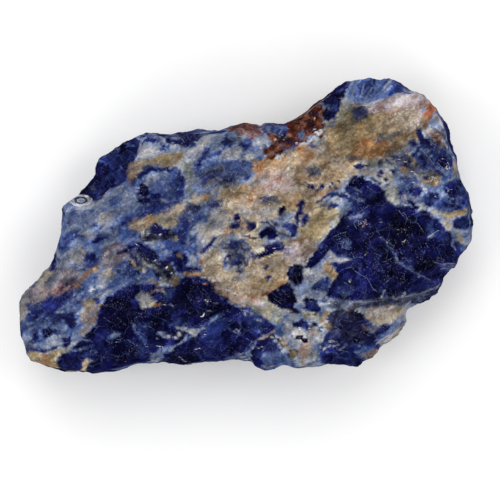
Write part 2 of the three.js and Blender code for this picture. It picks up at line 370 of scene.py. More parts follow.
LEFT_CLOUD = """
azure 12 .8: 56,235 62,205 90,200 140,205 190,210 195,270 150,290 90,300 50,310 44,270
cloud 8 .85: 64,206 78,204 100,193 130,186 134,206 112,214 90,212 70,218 60,222
azure 7 .55: 85,192 125,190 128,206 85,209; 62,210 70,210 70,220 61,222; 112,226 140,212 140,242 118,244
pale 4 .7: o6,2.4,-25 121,188; o4,3,-20 127,205; w4 92,206 104,199 114,194
blue 4 .9: 71,209 76,208 78,216 73,219 70,215; 92,223 97,223 96,228 91,227; w4 58,250 64,240 73,231; w3 62,247
 70,240 77,234
azure 5 .9: 82,217 90,216 91,223 84,224; 92,211 104,210 104,217 94,219; w5 66,254 76,246 90,243; 118,234 130,230
 140,232 138,240 124,242
pale 6 .65: 99,214 107,211 114,215 115,224 110,229 102,228 97,222; 84,229 92,228 94,236 89,241 84,239; 58,256
 70,250 84,250 90,258 82,267 68,272 58,268
butter 5 .4: o6,7,10 105,219; o5,4 76,258; w3 114,212 124,208
pale 4 .75: o4,3.4 104,220; o5,4,-30 70,260; o4,3 88,234
tan 3 .6: 80,249 85,249 86,257 82,258
navy 3 .9: 50,247 57,248 58,260 54,271 49,272 47,260
navy 2 .9: o3,2.6 112,228; 96,234 103,232 109,233 107,238 101,240 95,239; 91,240 100,239 99,243 93,244
blue 4 .8: w4 100,236 112,232 124,226; 120,218 132,212 138,220 126,228
blue 3: 84,252 97,252 98,258 97,266 90,268 84,264
navy 3 .65: 86,253 97,253 97,260 90,264 85,260; 117,246 128,244 136,246 134,250 122,251
cloud 5 .7: 98,246 108,240 118,238 114,246 104,250; 118,254 134,250 146,246 140,256 124,260
flesh 4 .65: 104,250 114,244 126,246 130,254 120,262 110,267 101,268 99,260
mauve 2.4 .7: w2 117,243 109,247 104,251 100,257 98,263
pale 3 .5: o4,3 116,250; o3,2.4 107,258
brown 3.6 .85: w5 84,277 90,272 97,266
orange 3 .4: w2.4 85,275 92,269
cream 3 .8: 93,267 96,267 97,271 94,271; 101,271 108,269 113,271 112,277 105,279 100,277
black 1.6 .9: o2.4,1.6 118,269.6
blue 5: 117,265 130,260 144,262 152,268 150,276 134,278 119,275
azure 4 .7: w4 122,270 134,267 148,271
"""

# The two small cloud specks in the navy pocket of the swirl are painted glints.
TOP_LEFT = """
navy 2.2: 74,197 80,189 88,180 92,176 93,166 98,159 104,156 113,148 120,143 130,138 139,132 142,130 141,143
 139,155 133,160 129,165 128,173 126,178 122,184 115,187 110,188.5 105,195 100,199 93,201 86,198
night 3 .95: 94,167 108,164 111,171 104,182 96,186 93,176; 80,186 92,182 94,190 90,198 80,197
night 4 .75: 120,147 134,144 138,152 134,160 126,166 121,160
blue 3.5 .9: 112,151 119,149 120,157 113,159; w3 100,162 108,157; 112,176 120,172 124,178 116,184
cloud 1.4 .6: w1.3 124,144 129,144.5 134,146; w1 104,158 112,153 118,149
azure 1.3 .55: w1.2 100,160 106,164; w1.2 108,163 114,168; w1.2 118,154 124,160; w1.2 127,149 132,155; w1 120,166
 126,172
slate 1.6 .9: o2,2 93,189.5
pale 3.5 .9: 139,143 148,144 160,146 158,152 150,158 141,158
snow 3 .6: o6,2.6,35 146,151
tan 3 .92: 130,164 138,160 152,158 154,164 147,169 141,174 139,180 134,183 128,179 127,171; 152,162 158,155
 168,150 180,151 185,156 182,162 174,167 160,168
butter 4 .6: 134,166 148,161 149,167 140,172 133,172; 158,160 168,153 178,157 170,164
olive 2 .5: o5,1.6,-6 176,155; o3,1.6,30 132,178
pale 4 .75: o6,3.4 158,147; o5,3 148,154
orange 2 .75: o2.6,2.2 132,181; o2,1.6 176,156
cloud 4: 139,133 150,131 164,132 170,140 160,146 146,145 140,141
azure 3 .7: 142,133 160,132 158,137 146,138
navy 1.6 .95: o6.8,2.2,-4 151.5,140.4
blue 3: 164,133 196,131 205,132 200,141 184,143 170,143; 162,144 170,144 170,148 162,148; 180,143 192,141 201,142
 196,148 186,150 180,149
navy 2 .9: w3.4 168,139 174,139.4 180,141.4; 183,132 200,131 200,137 192,141 184,139
cloud 2.4 .9: w3 167,151 178,147.5 190,149.5; o3,2 178,136
azure 3 .9: 200,131 226,127 226,131 206,134 198,136
azure 6 .8: 190,160 206,160 214,148 250,138 266,150 262,176 240,184 216,178 200,176 188,176
pale 3.5 .95: 206,133 222,131 220,136 212,140 208,146 206,151 198,160 188,160 183,154 192,147 200,142
snow 2.4 .5: w3.4 215,136 207,143 198,150; o3,2,-30 216,137
cloud 5 .9: 176,162 186,158 194,162 190,172 182,170
blue 2.2: 205,149 211,147 209,154 203,161 199,168 195,166 200,156
navy 2 .6: w2.4 209,150 204,157 199,165
cloud 5 .9: 212,138 226,130 240,136 250,140 256,150 250,160 230,164 216,160 210,150
blue 3.4 .95: 219,138 230,134 235,140 231,149 222,149; 240,140 250,139 254,147 243,151; w4 212,156 220,152
navy 3 .65: o5,4,-30 226,141; o4,2.4,10 244,146
slate 4 .6: o7,3.4 236,138
pale 3.4 .85: 222,150 232,148 242,150 240,158 230,161 222,158; o5,3 250,156
navy 3 .7: 221,163 231,161 232,166 224,168; 237,162 244,160 246,165 239,167
sage 3 .4: o6,2.4,-20 232,172; o4,2,-10 250,158
azure 5 .7: 206,160 222,162 240,162 252,164 250,176 230,176 210,174
slate 4 .5: 212,164 222,168 214,172 206,170; 246,164 256,162 256,172 248,174
slate 5 .8: 198,175 214,171 236,172 238,184 224,190 204,191 196,186
navy 3.6 .7: 200,177 213,175 216,181 204,184; o6,3.4,-10 229,178; o4,2.4,-30 246,178
sage 3 .4: o5,3,-20 222,186; o4,2.4,0 240,186
olive 3 .75: o4.4,2.4 212,181; o3,2 218,167; o5,2.6 230,187
sage 5 .75: 182,160 191,162 192,176 190,190 183,189 182,174
pale 3 .5: o3,6,5 187,178
azure 4: o25,21,10 159,187
cloud 5 .8: o11,8,20 156,181; o7,5 166,190
pale 3 .85: o5,4 154,178; o3,2.4 164,182
navy 2.2 .9: w3.4 138,176 146,172 155,168.5 166,168.5 173,172
blue 4: w9 175,172 181,180 180,192 174,203 164,210; w7 158,206 148,213 136,219 124,225
navy 3 .8: w4 179,174 183,183 181,192 176,201
blue 5 .7: o11,7 161,196; o8,4,-20 148,208
azure 4 .75: w4 176,208 162,214 150,219
navy 2 .95: 135,198 144,197 152,198 152,203 144,204.5 136,203; 150,194 160,193 162,197 156,200 150,199; o6.4,6.6
 142,190.5
night 1.6 .9: 139,187 143,185.6 146,188.5 145.6,193 142,194.6 138.4,192
pale 2 .55: o3,2.4 147,182; o2,3 134,190; o3,1.6 164,201
cloud 1.2 .7: o1.8,1.4 136.8,187.4; o1.4,1.8 136.6,192
"""

TAN_BAND = """
azure 5 .8: 186,206 200,202 226,204 226,216 206,224 188,222
tan 5 .75: 131,226 137,219 152,214 160,219 152,226 140,231; 158,215 170,207 184,204 190,209 182,215 168,219;
 186,201 196,194 212,191 216,199 204,203 192,207
tan 5 .8: 214,190 232,188 250,184 254,196 238,203 222,203
cream 4 .55: o8,3,-25 148,221; o7,2.6,-28 175,210; o8,3,-15 200,198; o6,3,-8 224,197
blue 4 .5: o4,2,-30 160,212; o3,2,-30 188,207
olive 3 .6: 225,191 240,190 240,198 226,198
flesh 4 .5: w5 131,227 146,221
peach 5 .7: 240,186 258,180 264,190 258,200 246,200
coral 3 .6: o6,4,10 250,202; o2.6,3,0 240,203
orange 2 .8: w2 230,190 235,198; o2.4,2.6 205,197
slate 3 .9: 190,203 200,202 201,212 192,213; 205,201 222,199 223,208 208,210
navy 3 .6: 191,205 199,204 199,210 192,211; 207,203 220,201 220,207 209,208; o6,2.6,-20 224,212
blue 4 .75: 184,212 196,212 204,216 196,226 186,224
cream 6 .8: 222,202 244,200 258,204 262,224 244,240 226,240 210,232 210,216
pale 5 .75: 208,218 220,212 232,216 230,228 220,236 208,236; o6,4,-20 246,212
coral 4 .4: o4,5,20 227,232
navy 2 .92: 232.6,215 238,214 239,220 234,221.6; 231,223 240,222 240,227 232,228; 249,223 255,221 257,229 251,232;
 w2.4 243,235 249,237 254,240
azure 2.4 .6: w2 229,219 242,229; w2 240,216 248,222
"""

MIDDLE_LEFT = """
blue 5: 170,230 186,219 191,230 187,240 187,262 178,266 170,246
navy 3.6 .6: 180,219 190,218 190,231 182,232; 178,236 184,235 184,262 178,261
azure 3.6 .95: 187,232 196,230 199,244 198,262 189,265 187,246
azure 3 .5: w3 192,236 194,250 192,262
blue 5 .85: 128,240 142,226 160,232 178,240 186,262 170,268 150,258 134,250
pale 5 .95: 198,228 208,223 217,228 216,242 209,256 200,258 196,246
snow 3 .55: o3,3 192,260; o3.6,7,10 206,238
cream 5 .7: 202,232 212,226 216,232 208,244
navy 2: w4.6 214.5,238.5 209,246 203,252
cream 5 .95: 200,254 214,248 228,260 232,276 216,276 204,269
orange 2 .8: o2.8,2.8 200,262
cloud 5 .75: 218,238 234,232 247,240 248,262 240,273 226,268 217,254
pale 4 .6: o4,5 226,250; o4,4 228,262; o5,3 242,236
blue 3 .8: w3 222,244 226,254 225,263; w2.4 244,244 249,252 248,262; 252,252 259,256 256,262 250,258
slate 4 .7: 222,246 236,242 246,250 246,264 238,270 228,262
blue 3 .7: 230,243 238,241 241,246 238,250 232,249; 232,253 242,251 245,255 241,259 234,259; 231,260 238,259
 241,264 238,267 232,265; 237,268 242,267 243,271 238,273
navy 2.4 .6: o3,2,-30 236,246; o3.4,2,10 239,255; o2.4,1.6,-20 236,263; o2.6,1.6 240,270; o2,1.6 228,256
pale 2.4 .5: o4,2.4,-40 226,252; o3,2,-20 246,246; o3,2,30 232,270
tan 3 .9: 128,229 128,222 138,219 148,216 160,216 175,217 178,222 176,229 165,229 160,226 152,225 150,229 140,231
sage 4 .6: 156,218 176,218 176,228 162,226; 142,229 150,228 150,232 143,234
flesh 3 .7: 134,222 146,221 148,228 136,229
azure 5 .7: 120,231 136,231 142,236 138,243 122,243; 164,242 180,243 186,248 176,252 164,251
azure 4 .8: 161,249 168,249 172,256 168,262 162,258
cloud 3 .85: 141,242 152,241 160,242 158,248 148,249 142,247; o5,4 194,233
steel 1.6 .8: w1.4 160,242 157,247; w1.4 162,243 160,248
navy 3: w3.4 119,252 128,249 135,245.4 141,243.6
night 2: 149.6,230 152.6,227.6 153,224.6 156,224 159.6,226 162.6,227 164,231 168,230.4 172,232 174.6,234.8
 171,238.4 168,240.4 163.6,241 161.6,237 157,235 153,232.6
black 2 .9: 143.6,234 150,232 157,236.4 162,237 163,241 155,242 148,241 144,238.6
slate 1.6 .8: o2,1.4 147.4,238.4; o1.6,1.2 153,239; o1.4,1.2 150,235.4; o2,1.2 157,238.6; o1.6,1.3 146,235
olive 2 .8: 170,237 176,236.6 176,241 171,241.4
pale 1.6 .8: o1.8,2.4 143,232; o1.6,1.2 143.4,235; o1.6,1.4 148,229.6
night 2.4: 133.6,251 138,247 141,243.6 146,245.6 152,249.6 157,254 157,259.4 150,259.6 142,258.6 136,255.6
slate 2 .5: o3,1.6,50 150,252; o2,1.4 143,248
sage 2.4 .85: 142,259 152,259.6 160,262 160,267 152,269 143,267
black 1.1 .9: w1 140,258 143.6,262.6; w1 142.8,257.6 147.4,263.4; w1 145.6,257.6 151,264; w1 149.6,259 154,263.6;
 w1 153.6,259 158.4,262.6; w1.2 151,257.6 157,259.6
slate 2.4 .9: 127,261 131,260 137,258 141,264 141.4,271 140,274.4 136,270.6 131,265
black 1.2 .9: w1.6 126.6,260.4 131,264.6 136,270 139.4,274; w1.3 133.6,257.6 138,261.6 141.4,266 140.8,272; w1.1
 136,264.6 140,266.6; w1.1 136.6,267.6 140.4,269.4; o1.6,1.2 136,259.6
olive 1.2 .7: w1 136,266.2 140,268; w1 136.6,269.6 139.4,271; w1.2 131,262.6 134.6,265.6
butter 2.4 .7: o3,2.6,-20 143.4,270.6
azure 2.4 .8: 150,268 153,268 160,279 158,282 152,276
slate 2.4 .8: 152.6,267 160,265.6 161,277 158.6,277
navy 1.6 .9: w1.8 151.4,268 155,274 160.6,281.6
black 2: 160,262 165.4,261.6 172,265 174.4,272 172.4,278.4 166,281 162,278.6 160.6,270
slate 2 .9: o2.6,2.2 165.6,276.4; o2,1.2 162,268
brown 1.6 .5: w1.2 163,262.6 170,265.6; o2,1.4 169.6,268
navy 3 .85: 172,250 180,251 185,258 186,268 178,272 172,264; 178,264 194,266 201,271 196,276 182,276
olive 2 .8: o3,2.4,-20 178.6,256.6
tan 2 .85: w4 184,274 195,273.6 206,275; o4,4 174,279; w2.4 134,283 144,280.6 153,281 159,284.6
orange 1.6 .6: w1.6 188,274 198,274; o3,1.8,20 157,285
"""

# The snow strokes and specks on the cloud streak are painted glints.
LEFT_END = """
slate 8 .55: 40,275 60,268 84,272 84,292 66,300 40,306 22,300 26,286
blue 3 .9: w5 30,289 35,282 41,274; w3 24,294 29,288
navy 2 .8: w2.4 33,284 37,279
cream 6 .8: 38,274 48,270 54,274 52,284 44,289 37,286
sage 6 .7: 44,286 50,276 58,276 58,286 50,292
flesh 5 .75: 26,290 44,286 58,290 50,300 40,304 28,303; 58,272 76,270 82,280 70,284 58,282
pale 4 .6: o4,3 62,276; o4,2,-20 74,278; o4,3,-30 36,294
mauve 4 .85: 54,285 60,281 70,280 76,284 72,290 60,296 50,296
rust 3 .5: w3 57,291 64,286 72,283; o3,2 63,284
brown 2.4 .7: w2.4 56,290 62,287 68,290; o4,2,-30 78,285
cream 6 .6: 16,298 24,290 29,298 28,312 24,322 15,323
slate 5 .4: o5,6 24,304; o6,4 34,298
tan 5 .35: o4,8 21,306
blue 6 .95: 28,306 42,302 62,297 80,288 90,283 90,296 80,310 70,322 44,326 26,322
navy 5 .75: 44,302 50,295 60,297 62,306 55,315 46,318 41,311; 30,312 38,310 42,318 36,323 30,320; 64,296 72,290
 76,294 68,302
azure 3.6 .8: w3 58,312 66,306 76,298 86,288; o7,3,-15 66,310; w2.4 44,324 54,318; w3 34,308 42,304
azure 5 .8: 72,300 80,304 82,320 76,334 58,336 52,326 60,316
navy 3 .85: 68,313 75,311 77,322 72,331 67,325; w3 54,320 60,316 66,318
azure 4 .9: 20,322 32,320 50,324 62,326 60,338 40,346 24,340
cloud 3 .7: w3 22,326 30,324 38,328; 52,324 62,322 62,331 53,332
cloud 4 .9: 22,330 32,328 31,342 27,347 21,343; 45,339 52,335 62,337 64,345 56,349 45,347
pale 4 .5: o4,4 26,338; o5,3 56,342
navy 2.4: 31,333 37,331 40,336 38,341 32,340; 41,329 49,328 50,336 44,339; 62,338 70,336 73,343 68,348 62,346
blue 3 .8: w3 30,342 42,340; w4 52,331 62,334
night 2 .9: o2,4 20,333; o1.6,3 18,325
navy 2.6 .9: w4 25,346 34,350 46,351 56,348
azure 1.8 .8: w1.4 27,343 36,345 44,349; w1.4 26,347 34,348
cloud 2.4 .85: 72,339 80,338 82,345 76,349 71,346; w1.6 64,349 74,350 82,348
butter 2.8: 24,353 32,351 46,354 56,350 66,348 72,350 70,353 60,356 58,360 61,364 56,369.5 48,369 38,366 26,361
peach 3 .85: 38,356 47,354 51,359 48,364 41,363
tan 3 .6: 46,355 56,352 56,358 50,360; 50,362 58,362 56,367
orange 2 .6: o3,1.8,20 44,361; o3,1.6 29,355
slate 1.6 .8: o2.2,1.6 37,359; o1.6,1.2 63,353
cloud 4.5 .9: 88,284 104,278 124,276 126,284 112,292 106,300 92,303 84,302
azure 3 .8: w4 98,292 104,290 110,286; w4 112,288 122,282 134,279; w3 80,296 88,288
snow 1.5 .85: w1.6 92,291 98,287.5 104,284; o2.2,1.6,30 98,296; o1.4,1 92,287.6
pale 2.4 .8: w2 100,299 106,293 112,290; w1.6 104,284 112,280; w1.4 120,286 130,280
azure 5 .9: 118,284 134,280 150,274 150,280 130,285
navy 2 .8: 92,300 99,298 102,303 96,306
olive 4.5 .75: 82,300 90,298 94,303 92,312 85,315
flesh 4 .85: 84,312 93,311 98,317 95,325 88,328 83,322
tan 3.6 .6: 80,329 87,325 89,330 84,336 79,335; o3,4,30 91,307
cream 3 .4: o3,3 87,304; o2.4,2 84,331; o3,3,-20 92,321
brown 2.4 .75: w2.6 94,309 99,306 104,304; o2,3 96,314
"""

# The slate band along the bottom rim near x 222 to 262 is partly painted shade of a small facet that faces away from
# the light, and the small pale specks near 245,313 are painted glints.
LOWER_NAVY = """
navy 2.6: 104,303 109,297 116,291 126,286 136,284 152,284 160,288 168,286 176,284 184,277 198,276 207,279 212,284
 214,290 219,295 226,298 231,304 238,307 250,307 256,311 266,318 276,326 272,340 262,350 262,372 230,366 190,372
 130,376 84,378 58,374 56,362 64,354 74,350 80,342 86,336 92,328 96,322 98,313
night 8 .9: 105,306 120,296 132,300 140,310 146,320 132,328 114,330 100,320; 182,284 204,280 213,292 226,304
 222,314 208,320 190,318 174,310 172,298
night 6 .7: 60,360 80,356 80,372 62,372; 112,342 134,342 140,356 122,366 104,360; 170,352 192,346 200,356 188,366
 168,364; 226,346 244,340 250,346 232,354; 150,308 166,304 170,320 152,326; 226,326 248,322 250,334 230,338
blue 5 .75: 134,322 148,322 154,332 146,338 138,334; 202,328 214,318 226,320 230,330 214,338 202,336; 158,290
 172,288 172,298 162,300; 84,340 92,338 92,348 84,350
blue 7 .5: 204,340 220,336 224,350 206,358; 132,342 150,342 160,350 140,358; 60,366 76,364 90,372 60,374; 236,310
 250,308 260,318 250,324; 100,344 112,342 110,356 98,356
azure 1.8 .8: w2 134,325 136.6,332 140,336 145,338.6; w1.4 145,339 146,343; w2 165,298 170,293 175,289
azure 3 .9: 109,335 115,332 120,334 119,338 112,341 108,339; w3 170,325 178,323 188,324; w3 200,326 208,322
 216,316 223,314
cloud 1.8 .7: o3.4,1.8,-15 115,335.6; w1.6 210,322 217,316.6
cloud 2.6 .95: 157,334 164,333 172,336 176,338 168,339 160,337; 176,326 183,324.6 188,327 190,330 184,331 178,329;
 186,331 193,328.6 199,329 204,326 206,329 199,334 195,337 188,336
pale 2 .75: w3 178,327.4 186,328.4; o5,2.6 192,332.6; o2.6,2 179,334.6
sage 2 .5: o4,2 192,333
azure 2.4 .9: w3 188,337 183,340 176,345 170,348; w5 170,348 164,351 158,354; w1.4 142,351 152,351.6 160,352; w1.6
 200,334 206,330 211,328
cloud 1.6 .8: w1.6 187,337 180,342 172,347.6; w2.4 172,347.6 165,350.6
cloud 2.4 .95: 151,353 160,351 163,356 159,365 152,365
pale 1.6 .7: o2,4,10 155,360
azure 1.6 .55: w1.4 195,352 199,355 201,360; w1.2 206,341 212,341.6 218,340.6; w1.2 224,327 232,331 240,334; w1.2
 226,319 232,322; w1 241,316 240,330
azure 1.8 .7: w2 71,352 80,350 90,347; w1.4 84,356 96,352; w1.6 74,341 84,339 92,341; w1.4 86,352 96,350
pale 1 .6: w1 157,339 164,337.6; w1 236,330 240,333; w1 212,303.4 218,303; w1 170,306 174,308; w1 206,310.6
 212,311
sage 2.8: 136,299 140,293.4 144,291 148.6,292.4 150.4,297 155,300 155.4,305 150,307 145,309 140,306
pale 3 .7: o4.6,5,20 144.6,298; o2.6,3 142,304
tan 2 .6: o3,2.4 152,303.6
orange 1.5 .85: w2 154,305 160,303.6; o2,1.4 205.6,284.6
cream 2.4 .8: 161,279 165,278 166,286 162,288; w2.4 152,291 160,291 165,293
olive 3 .8: 171,276 179,275 179,284 174,286 170,283
cream 2.2: 81,374 82,364 86,359 88,361 87,368 86.4,376
sage 2 .85: o3,2 90,360.4
slate 2.4 .95: 222,364 228,358 238,357 245,353 250,358 259,369.6 262,374 254,368 244,363 230,365
azure 1.6 .85: w1.8 223,361.4 230,357 238,355 245,353.6
blue 5 .75: 246,316 258,312 268,324 260,332 248,330; 254,352 266,350 282,352 282,362 266,366
azure 4 .7: 249,309 258,307 264,314 256,320 250,316; 262,356 272,354 276,360 266,362
pale 1.6 .6: o1.6,1.2 245,313; o1.4,1.2 248,311; o1.4,1 252,314; o1.6,1.2 257,320; o1.2,1 260,321.6
navy 4 .8: 256,340 268,338 276,342 280,350 268,352 258,350
flesh 2.2 .85: w3 277,329.6 268,334.6 258,339.4 254,342
cloud 2 .9: w3.4 255,341 252,347 248,353; w1.4 248,353 242,354.4
cream 2.4 .9: 263,366 273,365 275,370 264,372
cloud 1.8 .8: 276,359 282,358.4 281,362 277,362; o2.4,1.6 264,356
azure 3.4 .9: 280,360 292,360 300,364 302,369 284,372 278,367
blue 2 .7: w2 282,366 292,365.6 300,368; w2 284,361 292,362
"""

# The small snow specks on the lavender patch are painted glints.
CENTRE = """
cream 6: 262,160 284,152 300,144 326,140 352,154 372,164 352,178 330,190 318,204 322,216 334,222 328,236 312,250
 296,262 290,280 282,292 262,304 240,304 222,297 206,276 200,262 214,246 214,226 206,210 222,200 240,196 252,184
 254,170
tan 8 .55: 262,160 300,158 330,158 352,166 340,182 300,184 262,182; 300,198 326,198 336,206 320,216 304,214;
 258,256 282,256 288,284 270,292 250,286
peach 6 .85: 286,150 298,144 314,145 322,152 314,162 296,166 272,176 258,174 262,162 276,160
pink 5 .75: 258,172 272,168 290,170 294,184 284,192 268,194 258,188
snow 5 .4: o9,5,-15 272,184; o5,4 286,174
peach 6 .55: 264,160 290,158 296,168 270,172; 340,162 354,164 354,176 344,176; 296,232 305,232 305,240 296,242
orange 4 .65: 298,147 308,146 314,154 308,160 298,158; o5,8 257,168; o4,5 262,164
coral 3 .6: o3,3 260,173; o7,2.4,-10 277,180; o4,3 268,186
cream 4 .85: 284,164 294,162 294,172 286,174; 318,150 326,149 326,157 319,158; o5,4 300,190; o6,4,10 266,178
snow 3 .45: o4,3 321,153.6; o3,2.4 289,168; o4,2.6 264,180; o3,3 274,277
pink 4 .6: 328,150 342,152 340,162 330,162; 262,180 276,178 278,190 264,190; o6,3,30 312,148
slate 5 .5: 304,168 314,165 323,168 322,176 308,178; 282,151 292,150 292,158 284,158; 310,141 324,142 322,150
 312,150
slate 4 .8: 306,169 314,166 322,169 321,175 310,177
brown 3 .55: w3 300,178 314,180 328,178; 280,197 298,196 300,205 284,207; w2.4 324,166 334,172
slate 4 .75: 258,197 266,195 278,197 279,204 268,206 257,204; o2.4,3 252,188
navy 3 .5: o5,2,-10 264,200; o2.4,3 251,186
brown 2.4 .6: w2.4 280,196 289,194.6 297,193; w2 301,192 304,197
azure 3 .6: o2.6,4 256,183; o3,3 333,125
cream 5 .9: 240,212 256,206 272,204 284,206 286,212 276,218 260,222 244,224
snow 4 .4: o14,4.4,-10 263,213; o5,3,-20 248,218
pale 5 .6: 206,216 222,208 232,212 222,224 208,226
pale 3 .6: o10,3.4,-8 268,211; o4,3 260,217; o4,3,-20 329,215
cloud 4 .85: 285,212 296,212 296,222 286,222; 262,220 284,217 300,222 300,238 284,244 262,244 256,232; 336,190
 352,188 352,214 342,218 330,208 328,196
azure 3 .6: 280,213 286,214 286,220 280,220; o4,3 283,235.6; o5,3,-30 345,196; o4,3 342,212
butter 4: 298,232 303,222 310,215 318,209 331,206 341,211 343,221 336,229 328,235 322,241 314,250 306,252 303,246
 308,240 302,237
olive 4 .4: 308,218 322,212 330,222 320,234 310,232
pale 2.4 .6: o2.4,2,0 331,226; o4,2.4,-30 337,213; w3 312,246 318,242
cloud 3 .7: 328,222 340,216 342,224 334,230
flesh 5 .8: 284,242 296,238 318,240 318,248 306,260 296,264 284,260
pink 4 .7: 282,246 296,244 300,254 297,262 288,262 282,256
azure 3 .4: o5,4 288,250
snow 1.4 .7: o3,1.2,-10 295.4,244; o1.4,1.2 290.5,250.4; o1.6,2 297,259; o1.3,1.1 288,245.4
navy 2.2: 259.6,231 262,228 268,226.4 274,229 277,233 275,238.6 269,239 266,236.4 263,240.6 259,240 257.6,235;
 262,246 268,243 276,241.6 283,243 285,247 281,250 275,251.4 271,254 266,257 262,259 256.6,258 259,254 264,250;
 298,200 303,198.6 306.6,202 303,206 303,212 300.6,216 297.6,212 297,205; 303,216 307,213.6 310.4,217 307,221
 305,226 302.6,228 301,222; o2.6,3.6,20 283,211; 296,211 299,214 300,221 297,224 295,217
blue 2.4 .92: 281.6,224 290,221.6 297,223 299.6,229 296.4,236.6 291,236 288,230 283,228.6; o2,1.4 262,263; o3,2
 336,205
navy 2 .7: o4,3,20 292,226.4; o2.4,3 293,233.6; o4,1.4,15 276,224; w1.6 266,222 274,228 280,232
cloud 1.4 .6: w1.2 279,225 285,231 289,236; w1.4 300,218 303,224 306,227
navy 1.8: o3,2.3,10 311.6,187.4; o2.6,2.2 321.8,186; o1.8,1.4 317,190; o1.5,1.3 332,184; o1.7,1.4 339,181;
 o1.4,1.2 336,187.6; o2,1.4 308,185; o1.3,1.3 330,187
orange 1.8 .6: w2 312,196.6 320,194 330,190 340,185.6
blue 2.4 .85: 322.6,199 326,194 334,191.4 340,192.6 343.4,193.4 342,196.8 335,196.4 328,199
navy 1.8 .6: w1.6 324,197 330,193.4 337,192.6; w1.2 316,204 322,200; w2.2 332,202 330.6,206 329.4,209
blue 1.6 .8: o3.4,1.6,10 341,196; o1.4,1.2 337.6,205.4; o1.8,1.2 332,225.8
pale 1.6 .7: w2 329,198 334,198 340,199; w1.4 336,200 344,202
tan 5 .7: 246,286 262,278 282,276 288,286 278,292 258,300 246,298
flesh 5 .7: 208,272 222,276 238,284 248,296 240,304 222,297 210,286; 254,262 268,260 270,272 256,276
cream 4 .85: 204,262 218,262 232,272 246,276 250,290 236,294 222,286 210,278; o7,5 262,270
pale 3 .7: o5,4 242,277; o4,3 216,276; o4,2.4,20 228,290
slate 3 .55: o2.4,2 218,284; o3,2 235,278; o2,2 266,266
navy 1.6 .9: o2.4,2.2 269.4,278; o1.6,1.4 266.4,265.8; o1.3,1.2 265,269
brown 3 .7: w2.6 286.4,266 285.6,276 283.6,285; o3,2 281,286; w3 210,282 218,292 228,298; w2 240,303.4 252,304
flesh 3 .6: w3 250,290 256,300; w2.4 262,290 272,291
rust 2.4 .6: o5,2.6,-20 274,292; o3,2 266,294; w1.6 308,255 304,262
brown 2 .6: w1.8 226,298.6 236,304 246,305.6 256,304; w1.6 286,240 300,240 312,239
"""

# The small snow specks here are painted glints.
TOP_MIDDLE = """
mauve 2.4: 225,128 234,120 240,117 250,118 260,122 263,130 261,138 256,140.6 250,138.6 244,135 236,133 230,130.6
rust 3 .6: 230,128 237,122 244,121 252,126 256,132 246,134 238,132
cloud 4 .9: 254,140 262,134 270,136 270,146 262,156 254,158
azure 3 .7: 258,136 267,135 268,140 260,141
pale 3 .6: o4,5 262,147
flesh 3 .6: 266,134 280,134 282,142 268,143
blue 1.8: 262.6,130 264,124.6 268,121.4 274,120.6 280,121.6 285.4,124 287,129 285.6,135 283,136.6 279,134
 275,130.6 270,130.4 266,131.4
azure 1.8 .8: w2.2 272,122.4 280,123.6 284.4,128; o2,1.6 266,128.6
rust 1.6 .6: w1.4 263,131.6 270,131.6 275,132 280,136.6
rust 1.8: 286,124 293,119 304,111 313,107 322,101 324,106 326,112 323.4,119 324.4,125 321.6,130 324,135 321,138.6
 316,136.6 310,136 306,140 309,143.4 300,143.6 297,147 290,148.6 284,150.6 280,155.6 275,156 272,160 267.6,157.4
 264,152 264,147.6 268,147 272,142 270,138 265,135 266,130 276,131 280,136 286,137 287,130
coral 2 .22: o4,2.4,-40 307,116; o3,2 322,105; o3,2,-30 319,123; o3,3 274,137; o4,2,-30 283,145; o3,2 322,116
brown 2 .5: o3,2.4,-40 306,116; o3,3 320,121; o4,2.4,-30 277,150; o3,2 296,126; o2,3 270,154
flesh 1.8 .6: o2.6,2 303,122.6; o2,1.6 293,122; w1.6 316,104 322,108; o3,1.6,-40 310,110; o2,1.6 289,135; o3,2,-30
 273,133
night 1.8 .6: o3,2,-40 300,118; o3,4 312,126; o3,3 290,142; o2,2 316,117; o2,3 284,140; o2,2 305,133
azure 2 .9: 297,132 303,131 304.6,136 303,140.6 298,140 296.4,136; w1.6 322,107 326,104.6 330,109
navy 1.6 .92: 293,142 296.6,140.6 298.4,143 297,146.6 293.6,146.4; o2,1.5 317.6,112.4
cloud 1.4 .8: w1.6 290,149 293.6,146
snow .9 .75: o1.3,1.1 268,145.4; o1,1 296,142.6; o1,.9 275,139; o.9,.9 284,139; o1,.9 310,141; o.9,.9 321,104;
 o.9,.9 315,119
snow 1.2 .9: o1.8,1.5,20 316.4,132.4; o2,2.2 318,134.6; o1.6,1.5 321,130.4; o1.2,1.2 320.4,133.6; o1,1 315,129.6
"""

